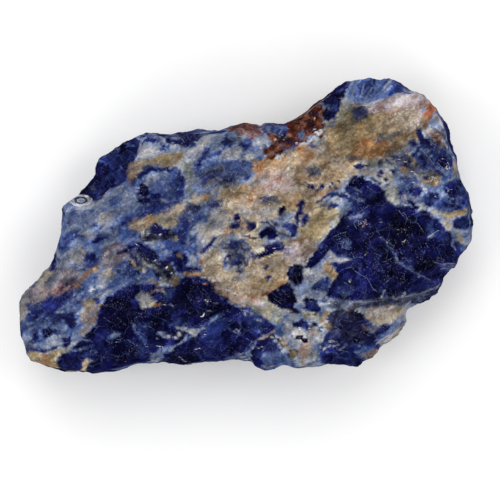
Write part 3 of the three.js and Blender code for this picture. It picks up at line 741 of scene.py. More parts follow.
KNOB = """
olive 5: 328,120 340,100 356,104 370,110 392,110 412,100 424,116 422,140 404,144 380,160 352,162 330,158 322,140
sage 5 .85: 324,116 338,98 350,99 354,108 348,120 340,128 326,128
pale 3 .7: 342,98 352,98 356,106 348,110 341,106
slate 4 .45: o6,4,-30 332,125; o7,4 344,138; o4,3 349,123
tan 5 .8: 326,132 340,126 366,126 366,140 352,150 336,156 326,150
olive 5 .7: 336,140 352,136 356,150 342,156
peach 3 .6: o4,3 333,141; o3,2 333,152; o4,4 350,168; o3,2.4 359,148
azure 2.6 .8: o4,3,-30 333,125; w1.4 311,143 318,150
navy 2.4: 319,102 325,95 332,90 340,84.6 344,84 345.6,92 344.6,97 340.6,99 342,107 338.6,113 335.6,119 329,121
 325,118 324,112 328,107 323,104
night 2.4 .9: 331,95 338,94 339,101 332,101; 325,111 331,111 331,118 326,118
blue 2.4 .8: o3.4,2,-40 339,89; o3,2.4 327,100; o2.6,3 335,108; o3,1.8 345,86
azure 1.4 .6: w1.4 325,105 330,106.6; o1.3,2,10 328.6,111
peach 6 .8: 374,116 394,108 414,101 422,114 414,134 394,134 380,126
cream 5 .85: 390,112 402,106 416,101 423,110 422,124 417,134 404,134 394,122; o4,5 411,124
pink 4 .6: 411,103 420,101 424,110 422,126 414,130 410,116
butter 4 .6: 386,116 400,114 406,124 396,130 386,126; o3,3 408,108
olive 6 .85: 362,116 380,114 390,126 380,138 362,132; 346,112 364,120 362,134 342,134; 330,124 346,124 346,146
 332,146
brown 5 .9: 360,140 372,138 386,140 400,144 396,156 380,161 352,162 350,154
orange 5 .35: 366,144 384,142 392,150 380,157 366,156; o3,4 361,125; o3,3 371,137
tan 4 .7: 398,138 412,140 412,150 400,150
slate 4 .6: w4 376,141 384,136 400,134; w3 348,158 360,160
pink 3: 360,106 370,101 384,98.6 396,93 410,91 422,93.4 431,100 434,107 425,108 417,104 408,107 398,111 386,112
 374,114 362,112.6
snow 3 .45: o5,3 420,97; o7,3,-10 394,103; o6,3 372,105; o5,3,-6 408,98
flesh 2.4 .8: 376,105 384,103 386,112 378,112; 402,95 416,94 414,99 402,100; o3,4 422,104
coral 2 .5: o3,4 381,107; w2 404,96.4 414,97; o2.4,2 390,99
peach 2 .9: 354,106 358,104.4 360,107 356,111 353.6,110
slate 3.2 .9: 352,109 357,107 364,107.6 368,110 368.6,117 364,121.6 358,120.6 353,117
navy 3 .6: 355,109 362,108 366,112 364,118 357,117
azure 2.4 .4: o3,2 356,113
coral 3 .95: 424,104 430,101 436,105 437,111 433,117 429,121 424,116
orange 3 .7: 423,114 430,117 429,123 425,127 421,124
rust 3 .3: o4,4 430,109
cloud 2.6: 434,114 440,113 446,124 447,128 438,130 431,127 432,120
pink 2.4 .6: o4,3,40 438,118.6; o3,2,50 443,124
blue 2.4 .75: o3,2,-20 444,129; w2.4 432,128 438,132
flesh 3.4 .9: 424,128 432,129 442,132 445,140 444,147 438,146 431,140
brown 3 .7: w3 432,134 438,140 441,145; o2.4,3 426,128
navy 1.8 .95: 417,129 421,128.6 424.6,134 429,140 436,147 443,155 441,160 433,160.6 426,156 421.6,149 418.6,140
blue 2.4 .6: 424,140 430,144 437,152 434,157 428,153; o2,4,-20 421,135
navy 2.4 .95: 421,156 427,157 430,163 428,169 422,167; 410,141 415,140 418.6,146 418,155 413,153
azure 2.6 .9: 443,132 448,134 452,143 455,152 450,150 446,143
blue 2 .9: 446,133 450,136 453,147 450,149 447,143
orange 2 .6: w1.6 416,134 418.6,140 420.4,146
peach 2 .5: w1.6 403,147 409,152 415,158
"""

# The smooth steel-blue facet at the top: its own blue, painted lighter over it as a painted sheen of light on the
# facet.
STEEL_FACET_SHEEN = """
steel 1.6: 343,84 348,79 371,76 380,79 392,78 403,82.6 415,90 412,93.6 405,94 398,93 391,97 381,98.6 374,101
 368,103.4 361,104.6 355,102.6 350,98.6 345.6,95.6
azure 4 .5: 346,84 352,86 356,98 350,98; 376,84 386,86 380,98 370,98
blue 3 .8: 392,80 404,83 415,90 410,93 400,92 392,94 388,96
navy 2.4 .6: o4,2.4,-30 396,89; w2.4 390,80.6 402,84 412,90
blue 3 .8: 358,84 370,81 374,90 368,98 360,96; w3.4 391,94 397,88 398,84; o4,2,20 409,91
cloud 1.6 .6: w1.6 370,101.6 379,93 389,83; w1.4 379,96 390,88; w1.2 350,82 346,92; w1.2 354,84 352,97; w1.2
 346,95 352,98 360,103.4; w1 364,84 360,100; w1.2 372,88 364,101
pale 1.4 .6: w1.6 384,88 388,82; o1.6,1.2 401,85
navy 1.4 .75: w1.6 346,82 360,79.4 371,78.4 382,80.6; w1.5 384,80.6 394,81 404,85.4 412,90; w1.4 372,80 375,86
azure 1.6 .8: 399,85 404,85.6 405,91 399,91
"""

RIGHT_TOP = """
azure 5: 400,150 420,144 440,146 452,156 464,180 474,200 474,216 446,216 424,206 400,208 388,196 390,178
slate 5 .6: 388,150 402,146 410,154 418,166 410,178 396,178 386,170
cloud 6 .6: 392,176 408,172 424,172 440,178 446,190 430,196 412,200 396,196
olive 5 .7: 386,148 396,142 404,148 398,158 388,160; 418,170 428,168 438,174 438,184 424,186
slate 3.4 .9: 394,157 402,154 409,158 411,165 405,168.6 398,167; 408,160 417,160 419,170 411,173; o4,4 381,163
night 2.4 .45: o3.4,3 399,159; o3,4 407,163
sage 3.6 .9: 383,157 392,156 397,163 394,171 386,168; 366,160 378,159 376,168 366,168
pale 2.4 .5: o3,3 389,160; w1.4 397,166 404,170 410,176
orange 2.2 .8: o3.4,2.6 404.6,169
peach 2.4 .5: w1.8 403,148 410,154 416,161; w2 414,172 420,164
navy 3 .85: 419,155 427,156 430,162 428,169 421,167
blue 3 .75: 430,158 437,160 440,168 433,168; 400,178 414,176 420,184 408,188; 428,146 436,150 441,157 434,158
cloud 2 .9: w2.4 422,150 427,158.6 432,165 438,170 447,174
azure 2.4 .8: w3 428,166 436,173 446,178; w2 436,160 444,168
navy 2: 436.6,157 442,153.6 448,156.6 452,162.6 449.6,169.6 443,168.6 438,163
night 2 .8: o3.6,4.4,-30 443.6,161.6
blue 2 .7: o3,2 439,158; o2,2 450,160
cloud 2.4 .9: 448,150 453,151 459,160 455,161 449,156
azure 2.4 .8: o3,4 451,156; o3,4,-20 451,172
tan 2.6 .8: 453,160 459,162 462,172 458,177 453,175 451,168
pink 2 .5: o2.4,4,-20 456,167
slate 2.6 .9: 423,172 430,169 438,174 441,180 434,186 426,182
olive 2.4 .7: 428,174 437,172 442,180 437,186 428,185
navy 2 .5: o2,1.6 427,176; o2,1.6,20 433,175; o2,1.4 439,184
peach 2 .8: o4,2.4,20 437,182.6; w2 416,185.4 423,182.4 430,180
cream 2 .6: o3,1.6,-20 433,178; o2,1.6 440,178
pale 2.4 .8: o2.4,2 424,190; w2 446,180 454,178; w2.4 424,204 434,209 444,210
cloud 2 .95: 457,175 464,173.6 467,182 465,186 458,181
blue 2 .9: 456,181 462,182 466,188 458,187
pale 3.4 .95: 354,168 362,166 372,170 384,168 392,172 394,179 388,184 380,183 372,177 362,176
cream 3 .7: 358,168 370,170 376,174 366,175; o6,3,10 384,174
sage 3 .6: o4,2 378,180; o4,3 390,178
navy 1.8 .95: 354,166 361,163 369,165.6 364,168 357,168; o2.4,1.5,-30 381,172; o2.4,1.6,20 393.6,171; o1.6,1.2
 379,176; o1.8,1.2 386,179; w2 372,179 380,182; o2,1.4 388,186
sage 2.8: 387,186 395,184 400,191 401,203 394,207.6 388,204 385,195
pale 2.4 .75: o4,7 391,195; o3,3 396,202
snow 2 .35: o2.4,4 390,194
azure 3 .9: 399,190 408,188 412,198 410,205 402,205 399,198
pink 2 .5: o3.4,5 404.6,198; o1.4,1.2 410,196
navy 1.6 .8: o1.6,1.4 402,193; o1.4,1.8 408,201; o1.4,1.2 405,204
navy 2.2: 408,191 412,187 420,186 423,191 420,196.4 413,197.4; 428.6,193.6 434,191.6 438.6,194 439.6,199 436,202.4
 430,201.6; 409,201 415,203 420,208 417,212 411,208
azure 2 .6: w1.6 412,186 420,188 426,194; w1.6 424,198 428,206
blue 3 .85: 424,198 440,198 452,202 460,208 446,212 432,208 424,204
navy 2.4 .8: w3 444,203 452,206 460,210; o5,2.6 430,205; o4,2 448,200
cloud 3 .75: 422,206 432,210 446,211 446,216 432,216 424,212
butter 2 .8: 418.6,204 422,204 424.6,210 421,211
navy 2.2: 444,186 448,182 456,182.4 460,188 458,197 450,199 445,193
blue 2.4 .95: 458,188 468,188 473,198 475,212 466,211 460,203 457,195
navy 2.4 .75: o4,6,-10 466,203; o3,3 466,192; 450,199 458,198 464,208 456,206
azure 1.6 .8: w1.8 456,196 459,202 464,208; o2,1.2 462,190.6; w1.4 446,187 450,192
azure 2.4 .5: o3,2,30 470,196; w2 468,186 472,198
butter 2.8: 441,213 452,212.6 462,210.6 468,212 464,215.6 454,218 446,219 441,217
tan 2 .7: o6,2.4,-6 460,213.4; w1.4 446,219 454,217.6
"""

# The night and navy at the lower right are dark partly as the stone's own navy and partly as painted shade of the
# bevel that faces down, away from the light; the short pale strokes near 330,342 are painted glints.
BOTTOM_RIGHT = """
sage 3.6: 250,303 262,299 270,303 277,308 286,310 292,314 287,319 282,325 272,323 264,318 255,311
pink 3 .85: o5,3.4,10 258,301.6; o4,3 262,306
snow 2 .5: o3,2 263,305
coral 2.4 .5: o4,3 254,299
cream 3 .75: o3.4,5,-20 271,306; o4,4 268,314
cloud 4 .9: 284,312 300,312 322,316 322,332 300,330 284,330 280,322
sage 2.6: 301,309 312,311 319,313 320.6,317 315,323 309.6,322 304,317
cream 3 .6: o5,3 309,315
azure 2.4 .9: 281,314 289,314 289,318.6 283,319; 300,324 308,328 312,334 306,334; o3,2.4 283,331
pale 2.6 .85: 289,314 299,314 299,319 291,320; 284,322 292,322 292,329 286,329
navy 2.2: 293,321 301,318.6 308,324 313,327 310,330.4 304,327.6 298,329 294,326; 313,322 319,322.6 318.4,327
 314,327; 288,310 296,309 300,312 294,313.6
black 1.4 .8: o1.6,1.3 316,315; w1.4 290,312.4 299,312.6; o2,2 320.6,330.6; o1.6,1.2 322.6,327.6
tan 2.2 .85: 281,309 290,309.6 289,312.6 282,312; 319.6,317 324,311 332,310.6 331,316 325,320.6 320,323; 322,321.6
 331,320.4 337,325.6 333,330 325,328.6
olive 2 .5: o4,2.4,-20 328,325
flesh 2.4 .8: 309,328 318,327.6 323,332 316,336 310,334; o4,2 302,346
pale 3.6: 284,328 292,326.6 300,328 306,331 316,332.6 323,334 319,340 312,346 304,349 294,347 288,342 280,339
 275,335.6
snow 2.4 .35: 292,330 299,329.6 302,334 297,336 292,334; o3,2.4 302,331.4
flesh 2.4 .6: o4,2,20 314,334; o3,3 289,338; o4,2.4 308,343
slate 2 .45: o2,2 288,333; o2,1.6 296,343; o2.4,1.6 310,337
azure 2.4 .6: o2.4,3 283,334; w2 300,346 308,340; o3,2,-20 318,344; o2.4,2 304,326
cream 3 .85: 279,338 284,339 291,344 290,350 283,348 279,343
cloud 2.4 .8: o3.4,3,30 292,341; o3,3 287,333; o3,2.4 316,340; w2 293,348 296,341
azure 2 .8: 275,328 283,328 284,334 279,336 275,333; o1.6,3 290,343
olive 1.6 .85: o2.6,2 279,341.4; 288,351 293,349 298,351 298,357 292,359 288,356
black 1.2 .6: w1.2 277,340 281,343.6 283,347; w1.2 288,350.6 294,349.4 298,352; w1.2 287,355 291,359
flesh 2.6 .9: 298,347 305,344 311.6,346 311,353 309,361 304,366 300,362 299,354
tan 3 .6: o3,7,10 304,354
peach 2.4 .5: o4,5 304,352; o3,2 306,346
sage 2.4 .85: 311,351 316,351 319,358 315,364 311,361; w2.4 306,367 316,367
cloud 2.4 .85: 310,346 316,343 317,352 312,352; 313,361 319,360 322,366 314,368
slate 2 .7: o4,3 309,363.6
azure 3 .6: w3 316,344 320,352 324,362
navy 3 .97: 320,345 324,338 330,331 336,327 346,334 374,336 380,346 366,360 352,367 322,368 320,356
night 3: 327,319 333,312 344,309 353,309 362,312 366,322 369,330 377,334 373,342 356,344 344,339 337,330 330,323
slate 3 .4: w4 340,315 352,316; w3 352,334 366,338
navy 3.4 .8: 360,316 370,318 372,328 362,326; 328,348 346,346 350,360 330,362
azure 3.6 .85: 354,345 364,341 374,344 372,354 362,360 355,354
cloud 1.6 .6: w1.6 358,346 366,349; w1.4 356,352 364,356; w1.4 340,350 346,345; w1.2 326,352 338,354
blue 3 .8: 322,342 334,334 340,342 330,350; o6,3,-30 370,342; w3 344,352 352,344; 332,354 350,350 352,360 336,362
brown 2 .75: o3.4,1.8,20 349,308.6
cream 2.6: 366,315 371,310 384,307 398,305 406,307 404,313 394,320 384,325 374,326 370,320
snow 3 .35: o7,4,-10 379,316
butter 2.6 .6: o8,3.4,-8 390,311
flesh 3 .8: w3.4 363,327 372,330 382,328; 386,341 389,335 396,327 405,323 411,321 412,327 404,336 394,342 388,348;
 360,352 376,350 382,352 376,358 366,358
pale 2.4 .8: 400,306 411,305 413,313 407,320 399,321 401,313; w2.6 378,352 384,343 392,333
azure 2.4 .5: w2 394,322 402,314; w1.6 364,324 372,322
navy 2.6 .9: 376,329 386,324 392,326 388,333 381,336 374,334; o2.6,2 362,321
tan 2.4 .8: o3,5,40 404,328; o4,2,-30 390,343
peach 1.8 .95: w3.6 354,366.6 362,362.6 374,358 382,350
orange 1.5 .6: w1.6 354,367.4 360,364.6 368,361
pale 1.2 .7: w1.2 330,342.4 337,341.4; w1 333,347 339,345; w1 323,350 330,347
"""

# The slate and navy band just below the ridge is partly painted shade of the bevel that faces down, away from the
# light; the small snow and pale specks are painted glints.
RIGHT_NAVY = """
cloud 3.4: 304,268 316,262 328,252 340,246 350,258 336,266 336,284 338,298 318,300 304,300 298,308 292,300 300,286
navy 2.4: 350,182 354,176 362,176 366,180 372,182 380,185 384,191 389,204 400,207 408,205 418,210 428,211 434,216
 440,221 447,228 454,233 459,240 462,250 466,256 456,270 448,276 440,290 420,298 400,302 380,302 360,301 346,301
 334,299 325,297 326,290 330,284 336,279 337,274 334,266 332,261 340,262 350,260 344,256 336,257 330,250 322,258
 316,266 310,270 304,267 308,259 314,253 320,247 325,240 331,231 338,226 341,222 341,216 346,213 352,210 350,200
 344,196 346,188
blue 5 .55: 336,252 346,250 356,256 362,262 350,264 340,258; 336,282 350,278 356,290 350,298 336,297; 434,220
 444,226 450,236 446,244 436,238; 420,280 436,279 444,280 434,288 416,291 404,288
blue 6 .25: 342,216 358,210 364,222 348,228; 396,286 410,284 412,294 396,297; 452,244 460,250 458,264 446,262
azure 4 .5: 342,192 352,188 360,194 362,206 354,212 346,206; w4 350,218.4 358,216 366,215
night 5 .95: 388,224 393,212 404,216 414,217 425,227 426,240 420,252 404,252 392,247 384,238 380,228
night 6 .95: 352,236 376,228 384,244 394,258 400,270 412,276 404,286 390,288 376,276 366,256 352,252; 408,250
 424,254 440,262 441,276 428,280 414,270; 366,188 378,190 386,202 380,210 368,206; 444,248 454,252 452,262
 442,258; 376,284 390,290 388,298 374,296
cloud 2 .7: w1.8 351,219 357,216.6 364,213.6; w1.4 345,190 350,196; w1.2 356,188 361,192; w1.4 354,198 360,202
 364,200
azure 3 .35: o6,3,15 365,223; o6,5,20 346,244; o4,3 372,196
azure 2 .35: o6,4,20 346,244
pale 2 .95: 327,253 330.6,251 334,256 340,258 348,257.6 350,259.6 342,262 334,262.4 328,262
blue 2.4 .7: w3 382,240 388,248 394,255 401,264 411,269; 400,256 407,256 411,262 405,263
cloud 1.1 .35: w1.4 384,240 388,246 394,254 398,259; w1.8 396,258 400,264 406,268 413,269.6; w1 404,266 412,272
 424,277 430,280
pale 1 .7: o1.8,1.4 397,259; o1,1 387.6,242.6; o1,.9 381.6,238; o1,.9 404.4,266; o.9,.9 418,277
azure 2.4 .8: w3 428,238 436,232; o3,6 430,228
navy 2: 288,268 294,264.6 301,265 304,269 304.6,277 303,284 298,287 294,284.6 290,281 287,275
night 2.4 .8: 290,270 300,268 303,276 299,284 292,280
night 2.2: 267,294 275,291 284,286 291,284 294,291 296.6,302 292,309 284,309.6 276,306 270,301
navy 2 .6: 284,286 291,285 294,292 288,294
cloud 1 .8: w1.2 290,282 294,287; w1.2 303,270 307,276; w1.2 295,304 300,309
navy 2: 303,300 306,296 314,297.6 319,304 322,311 318,313.6 312,311 304,308
blue 2.6 .7: o3.4,5,-40 313,304; o3,3 325,300
snow .9 .8: o1.2,1.1 311,297.4
blue 2.6: 312,287 317,281 326,276 331,277 331,284 326,290.6 320,292 313,291
azure 2.4 .5: o4,3,-40 322,280; w1.4 320,290 328,283
pale 2.4 .85: 304,271 312,268.6 320,267 327,270 328,275 318,280 312,285 306,284.6 304,278; w3 296.6,292 299,297
 303,304
azure 2 .5: o3,2 312,276; o2,3 316,271
cloud 2.6 .9: 300,288 312,289 321,291 324,297 316,298.6 306,296 300,300
peach 2: 322,263 330,260 333.4,267 337,273 336.6,278.6 333,279.4 329,275.4 325,271
tan 2 .7: o2.6,3.4 326,266; o1.6,2.6 335.4,275
slate 2.6 .9: 362,301 384,299 410,294 430,289 444,281 448,278 440,294 424,302 390,306 364,308
navy 2.4 .95: 428,292 436,288 444,282 449,276 446,288 434,300 424,304 412,303; 364,305 376,301 384,302 376,307
slate 2.4 .9: 376,302 392,300 410,298.6 424,297 420,302 400,305 382,306
black 1.4 .5: w1.4 408,300.6 418,299.6 426,297
cloud 1.4 .7: w1.4 358,303 372,300.6 386,299 402,297; w1.6 402,297 412,295.4 422,293.4 430,290.6 437,287; w2
 437,287 443,281.4
azure 1.4 .8: w1.6 386,304 396,299.6; w1.8 418,299 426,296 432,292
pale 1.2 .7: w1.4 430,290.4 438,285.4 443,281.6
flesh 2 .7: 352,302 360,300.6 362,306 354,308
azure 2.6: 446,222 456,217 472,216 476,236 468,250 456,246 452,236
navy 2.6 .9: 450,222.6 459,217.4 469,218.4 472,228 465,231 456,230 452,227
blue 2 .7: o6,4,0 463,224; o2,2 470,222
cloud 2.6 .95: 428,211 440,213 443,219 450,220.6 453,228 461,230.6 466,231 474,238 469,249 462,247 457,240 452,236
 446,228 438,220 431,216
cream 2.6 .8: o5,2.4,30 447,224.6; o3,4 460,238; w2.4 456,232 466,246; o4,2 435,213
azure 2 .75: o2.4,2 466,236; 458,243 466,247 470,249 462,251
navy 2.4 .9: 453,243 458,242 461,249 457,253 453,250
cloud 1.4 .9: w2 452.4,240 451.6,245.6 454.6,250
brown 2: 469,234 474,231 476,236 473.6,241 469.6,240
azure 2.6 .5: 434,261 440,263 448,263.4 456,263 458,267 450,271 442,269.6 438,266
blue 1.6 .8: o5,1.4 446,266
azure 2 .8: 380,290 387,290 387,300 381,299
snow .9 .6: o1,1 382.4,297.6; w1 385,291 383,296; o1.1,.9 405.4,293.6; o.9,.9 344.6,292; o.9,.9 350.6,280.6
azure 3 .5: o5,4 345,293
"""

# The white ring that a dried drop of water left by the left rim.
RING = """
pale 1.6 .9: 70,199.4 73,196.4 79,194.8 86,195.4 92,198.6 93,201.6 88,204 82,205.6 76,205.4 72,203
snow 1 .7: w1.4 70.6,202 75,205 82,205.8 89,203.6; w1.2 76,196 82,195 88,196.4
navy 1.2: o6.6,3.5,4 80.8,200.2
cloud 1.4 .9: o4.5,2,4 80.6,200.2
azure 1 .5: o2.4,1.2,4 81.6,200.4
"""

# Single specks with sharp edges, and the dark rim at the upper left, navy in its own colour and partly painted shade
# where the edge turns away from the light.
SMALL_SPOTS = """
night 1.2: o4,2.6,-10 299.4,337.6; o3.2,2.2,10 304.8,340.4; o3,3 271.8,337; o1.8,1.5 277.8,339.4
sage 1 .8: o1.2,1.2 271.8,337
slate 1 .6: o1.4,.8 299.4,337.4
navy 1.5 .85: w2.4 94,172 95,162.6 109,154.4 122,144 142,131 172,132.4 203.5,130.8 226,126.6
"""

# Pale hairlines, finer than the mesh: the material draws them from their distance. The pale streaks on the steel
# facet at the top are partly painted sheen, and a few short white and pale ones are painted glints.
HAIRLINES = """
snow 1 .55: w1 170,135 176,139; w1 174,133 181,138 184,142; w1 186,134 190,140; w.9 192,133 196,138; w1 178,133
 178,138; w.9 200,133 205,137
azure 1 .55: w1 111,172 115,177 119,182; w1 107,178 112,185; w.9 115,170 121,177; w.8 119,166 124,171
azure 1 .6: w1.1 104,158 112,153 118,149; w1 124,144 129,144.5 134,146; w1 96,163 104,160; w.9 112,160 118,155
 124,152; w.9 106,165 112,161; w.9 128,150 134,154; w.8 116,162 122,166
azure 1 .5: w.9 130,147 137,146; w.8 100,167 108,170; w.8 122,156 128,160 132,158; w.8 93,192 99,196; w.8 89,188
 93,193
cloud 1 .5: w.9 200,143 208,137 216,134; w.9 204,149 212,141; w.8 209,152 214,146; w.9 226,135 232,140 238,139;
 w.8 196,148 203,144; w.9 188,155 196,151
pale 1 .45: w.8 225,146 234,150; w.8 236,144 240,152; w.8 246,150 254,153; w.8 212,158 220,154; w.8 228,158
 236,156; w.8 242,158 250,162; w.8 220,162 225,170
pink 1 .55: w.9 240,121 250,127 257,130; w.9 244,132 252,136 257,138; w.8 246,120 256,124; w.8 240,127 248,132;
 w.8 232,123 238,125; w.8 236,129 243,130
snow 1 .8: w1.1 235.6,136 241,136.4
cloud 1 .65: w1.3 370,101.6 379,93 389,83; w1 379,96 390,88; w1 350,82 346,92; w1 354,84 352,97; w.9 346,95 352,98
 360,103.4; w.8 364,84 360,100; w1 372,88 364,101; w.9 382,84 374,94; w.9 358,82 355,92; w.8 396,84 392,90
pale 1 .8: w1.3 384,90 388,82; w.9 376,96 380,92; w.8 366,90 362,96; w.9 356,88 353,95
cloud 1 .8: w1.2 421,149.4 427,156 434,164 443,170.6 448,178; w.9 418,141 421,150; w.9 441,147 446,151 452,152;
 w.8 436,160 443,168; w.8 447,150 453,158; w.8 430,141 437,146
cloud 1 .6: w.9 452,170 457,176; w.8 457,186 464,190; w.8 440,184 446,188; w.8 462,196 467,204; w.9 445,198
 452,204; w.8 404,184 410,180; w.8 396,190 402,187; w.8 429,206 436,210
night 1 .85: w1.3 451.6,201 456,206 462,210 468,212.4 472,213.6
cloud 1 .7: w1 399,210 403,216.4; w1.1 410,216 414,213.6 419,212.4; w1.2 412,205.6 417,211; w.9 416,222 420,226
 423,231; w.9 384,262 392,258; w.9 404,213 408,220
cloud 1 .55: w.9 384,240 388,246 394,254 398,259; w1.2 396,258 400,264 406,268 413,269.6; w.9 404,266 412,272
 424,277 430,280; w.9 404,257 409,262; w.8 396,263 404,262; w.8 418,274 422,270; w.8 388,240 394,247
snow 1 .9: w1.5 428.6,237 430.4,235.6; w1.4 431.4,234.6 434,233; w1 434,233 438,231
pale 1 .7: w1 433,261.4 440,264 448,264 455,263.6; w1 449,266 454.6,269.4; w.9 441,269 447,268.4; w.8 438,258
 444,260
pale 1 .7: w1.1 430,290.4 438,285.4 443,281.6; w1.1 402,297 412,295.4 422,293.4 430,290.6; w.9 360,303 372,301.6
 386,300
cloud 1 .7: w1.2 351,219 357,216.6 364,213.6; w1.1 345,190 350,196; w.9 356,188 361,192; w1 354,198 360,202
 364,200; w.8 366,186 372,190; w.8 358,194 352,190; w.8 368,206 362,210
pink 1 .7: w1 360,222 364,225.4 369,223.6; w.9 357,220 362,224; w.8 363,221 366,225; w.8 359,224 363,227; w.8
 366,220 370,226
cloud 1 .75: w.9 340,240 344,243 342,247; w.9 344,239 348,244 351,247; w.8 343,247 347,250 351,249; w.9 340,244
 346,246; w1 334,236.4 340,233.6 346,232; w.8 353,221 356,228; w.8 337,240 341,238; w.8 346,236 350,240
cloud 1 .7: w1 350,259 356,257.4 362,257.6; w1.1 354,270 360,274.4 366,277.4; w1 366,277.4 370,282 372,288
 378,292; w.9 340,271 346,268 352,267; w.9 372,252 380,256; w.8 384,284 390,279; w.8 344,282 350,286
azure 1 .8: w.9 374,258 380,264 384,272; w.9 426,282 434,281; w.8 412,234 416,244; w.8 438,250 442,258; w.8
 360,278 362,288; w.8 396,286 402,280; w.8 376,228 380,236; w.8 356,240 362,248; w.8 408,284 416,280
azure 1 .7: w.8 366,262 372,268; w.8 380,270 386,276; w.8 412,258 418,262; w.8 420,244 424,252; w.8 388,222
 392,230; w.8 352,206 358,212; w.8 436,268 430,274; w.8 444,252 448,258; w.8 360,232 366,238
cloud 1 .8: w1 290,282 294,287; w1 303,270 307,276; w1 295,304 300,309; w.8 283,291 288,296; w.8 275,299 280,303
cloud 1 .8: w1.1 276,330 270,333 264,335; w.9 262,337 256,340 250,344; w.9 250,345 244,352 236,357; w.8 258,330
 262,336; w.8 246,338 252,342
cloud 1 .75: w1.1 222,316 214,321 206,325 198,332; w1 196,333 190,337 184,340; w1 180,343 172,348 164,352; w.9
 200,327 206,330; w.8 210,318 216,322; w.8 190,331 196,337; w.8 168,344 174,350
cloud 1 .6: w.9 135,325 140,332 146,336; w.8 148,326 154,330; w.8 118,335 124,340; w.8 128,340 134,344; w.9
 156,352 158,360; w.8 160,350 163,358; w.8 118,318 123,324; w.8 104,318 110,322
azure 1 .75: w.9 136,318 141,326 148,330; w.8 160,318 168,322; w.8 176,324 184,320; w.8 196,306 204,310; w.8
 214,338 222,332; w.8 226,326 234,322; w.8 206,344 214,348; w.8 226,348 232,342; w.8 240,322 246,318
azure 1 .65: w.8 150,296 158,300; w.8 128,296 134,302; w.8 166,286 174,290; w.8 184,292 190,298; w.8 204,290
 210,296; w.8 112,306 118,310; w.8 122,352 130,356; w.8 140,358 148,362; w.8 190,352 198,356; w.8 174,354 180,360
pale 1 .55: w.9 96,288 102,284 110,280; w.9 90,292 96,290; w.8 84,296 90,292; w.9 104,286 112,280 118,276; w.8
 60,344 68,342; w.8 48,336 56,340; w.9 72,340 80,342
pale 1 .5: w.8 92,206 98,203; w.8 104,202 112,198; w.8 118,196 126,192; w.8 76,212 82,210; w.8 120,206 128,202;
 w.8 64,216 70,213; w.8 110,208 116,205; w.8 98,198 104,195; w.8 130,212 136,208
pale 1 .5: w.9 196,236 202,230; w.8 204,226 210,222; w.9 208,236 212,228; w.8 200,246 206,242; w.8 188,244
 194,240; w.8 186,252 190,246; w.8 226,236 232,234; w.8 243,254 248,258; w.8 256,222 262,226
flesh 1 .6: w.9 262,178 270,175 278,176; w.9 284,168 292,164 300,166; w.9 300,152 308,150 316,154; w.8 322,146
 330,144; w.9 268,212 276,208; w.8 330,158 338,156; w.8 312,166 320,170; w.8 340,166 348,168
brown 1 .6: w.9 288,198 296,197 304,200; w.9 256,206 264,208; w.8 272,190 280,192; w.8 296,172 304,176; w.9
 352,150 362,152; w.8 366,142 376,140; w.8 338,134 346,138; w.8 384,134 392,138; w.8 324,180 332,178
slate 1 .7: w1 258,198 266,201 274,199; w.9 262,194 270,196; w.9 270,203 278,205; w.8 306,168 314,171; w.8 310,174
 318,172; w.8 284,152 290,156; w1 380,134 390,136 398,134; w.9 388,140 396,142
slate 1 .6: w.9 232,292 238,298; w.8 224,284 230,290; w.8 250,284 256,290; w.8 264,276 268,284; w.8 214,262
 222,266; w.8 276,262 280,270; w.9 268,258 276,256; w.8 292,262 298,258; w.8 222,272 230,274
black 1 .7: w1 290,312.4 299,312.6; w1 277,340 281,343.6 283,347; w1 288,350.6 294,349.4 298,352; w1 287,355
 291,359; w.9 306,340 312,338; w.9 282,330 288,328
pale 1 .4: w1 330,342.4 337,341.4; w.9 333,347 339,345; w.9 323,350 330,347; w.8 340,350 348,352; w.8 356,340
 362,344; w.8 344,320 352,322; w.8 334,326 340,330; w.8 362,332 370,336
"""
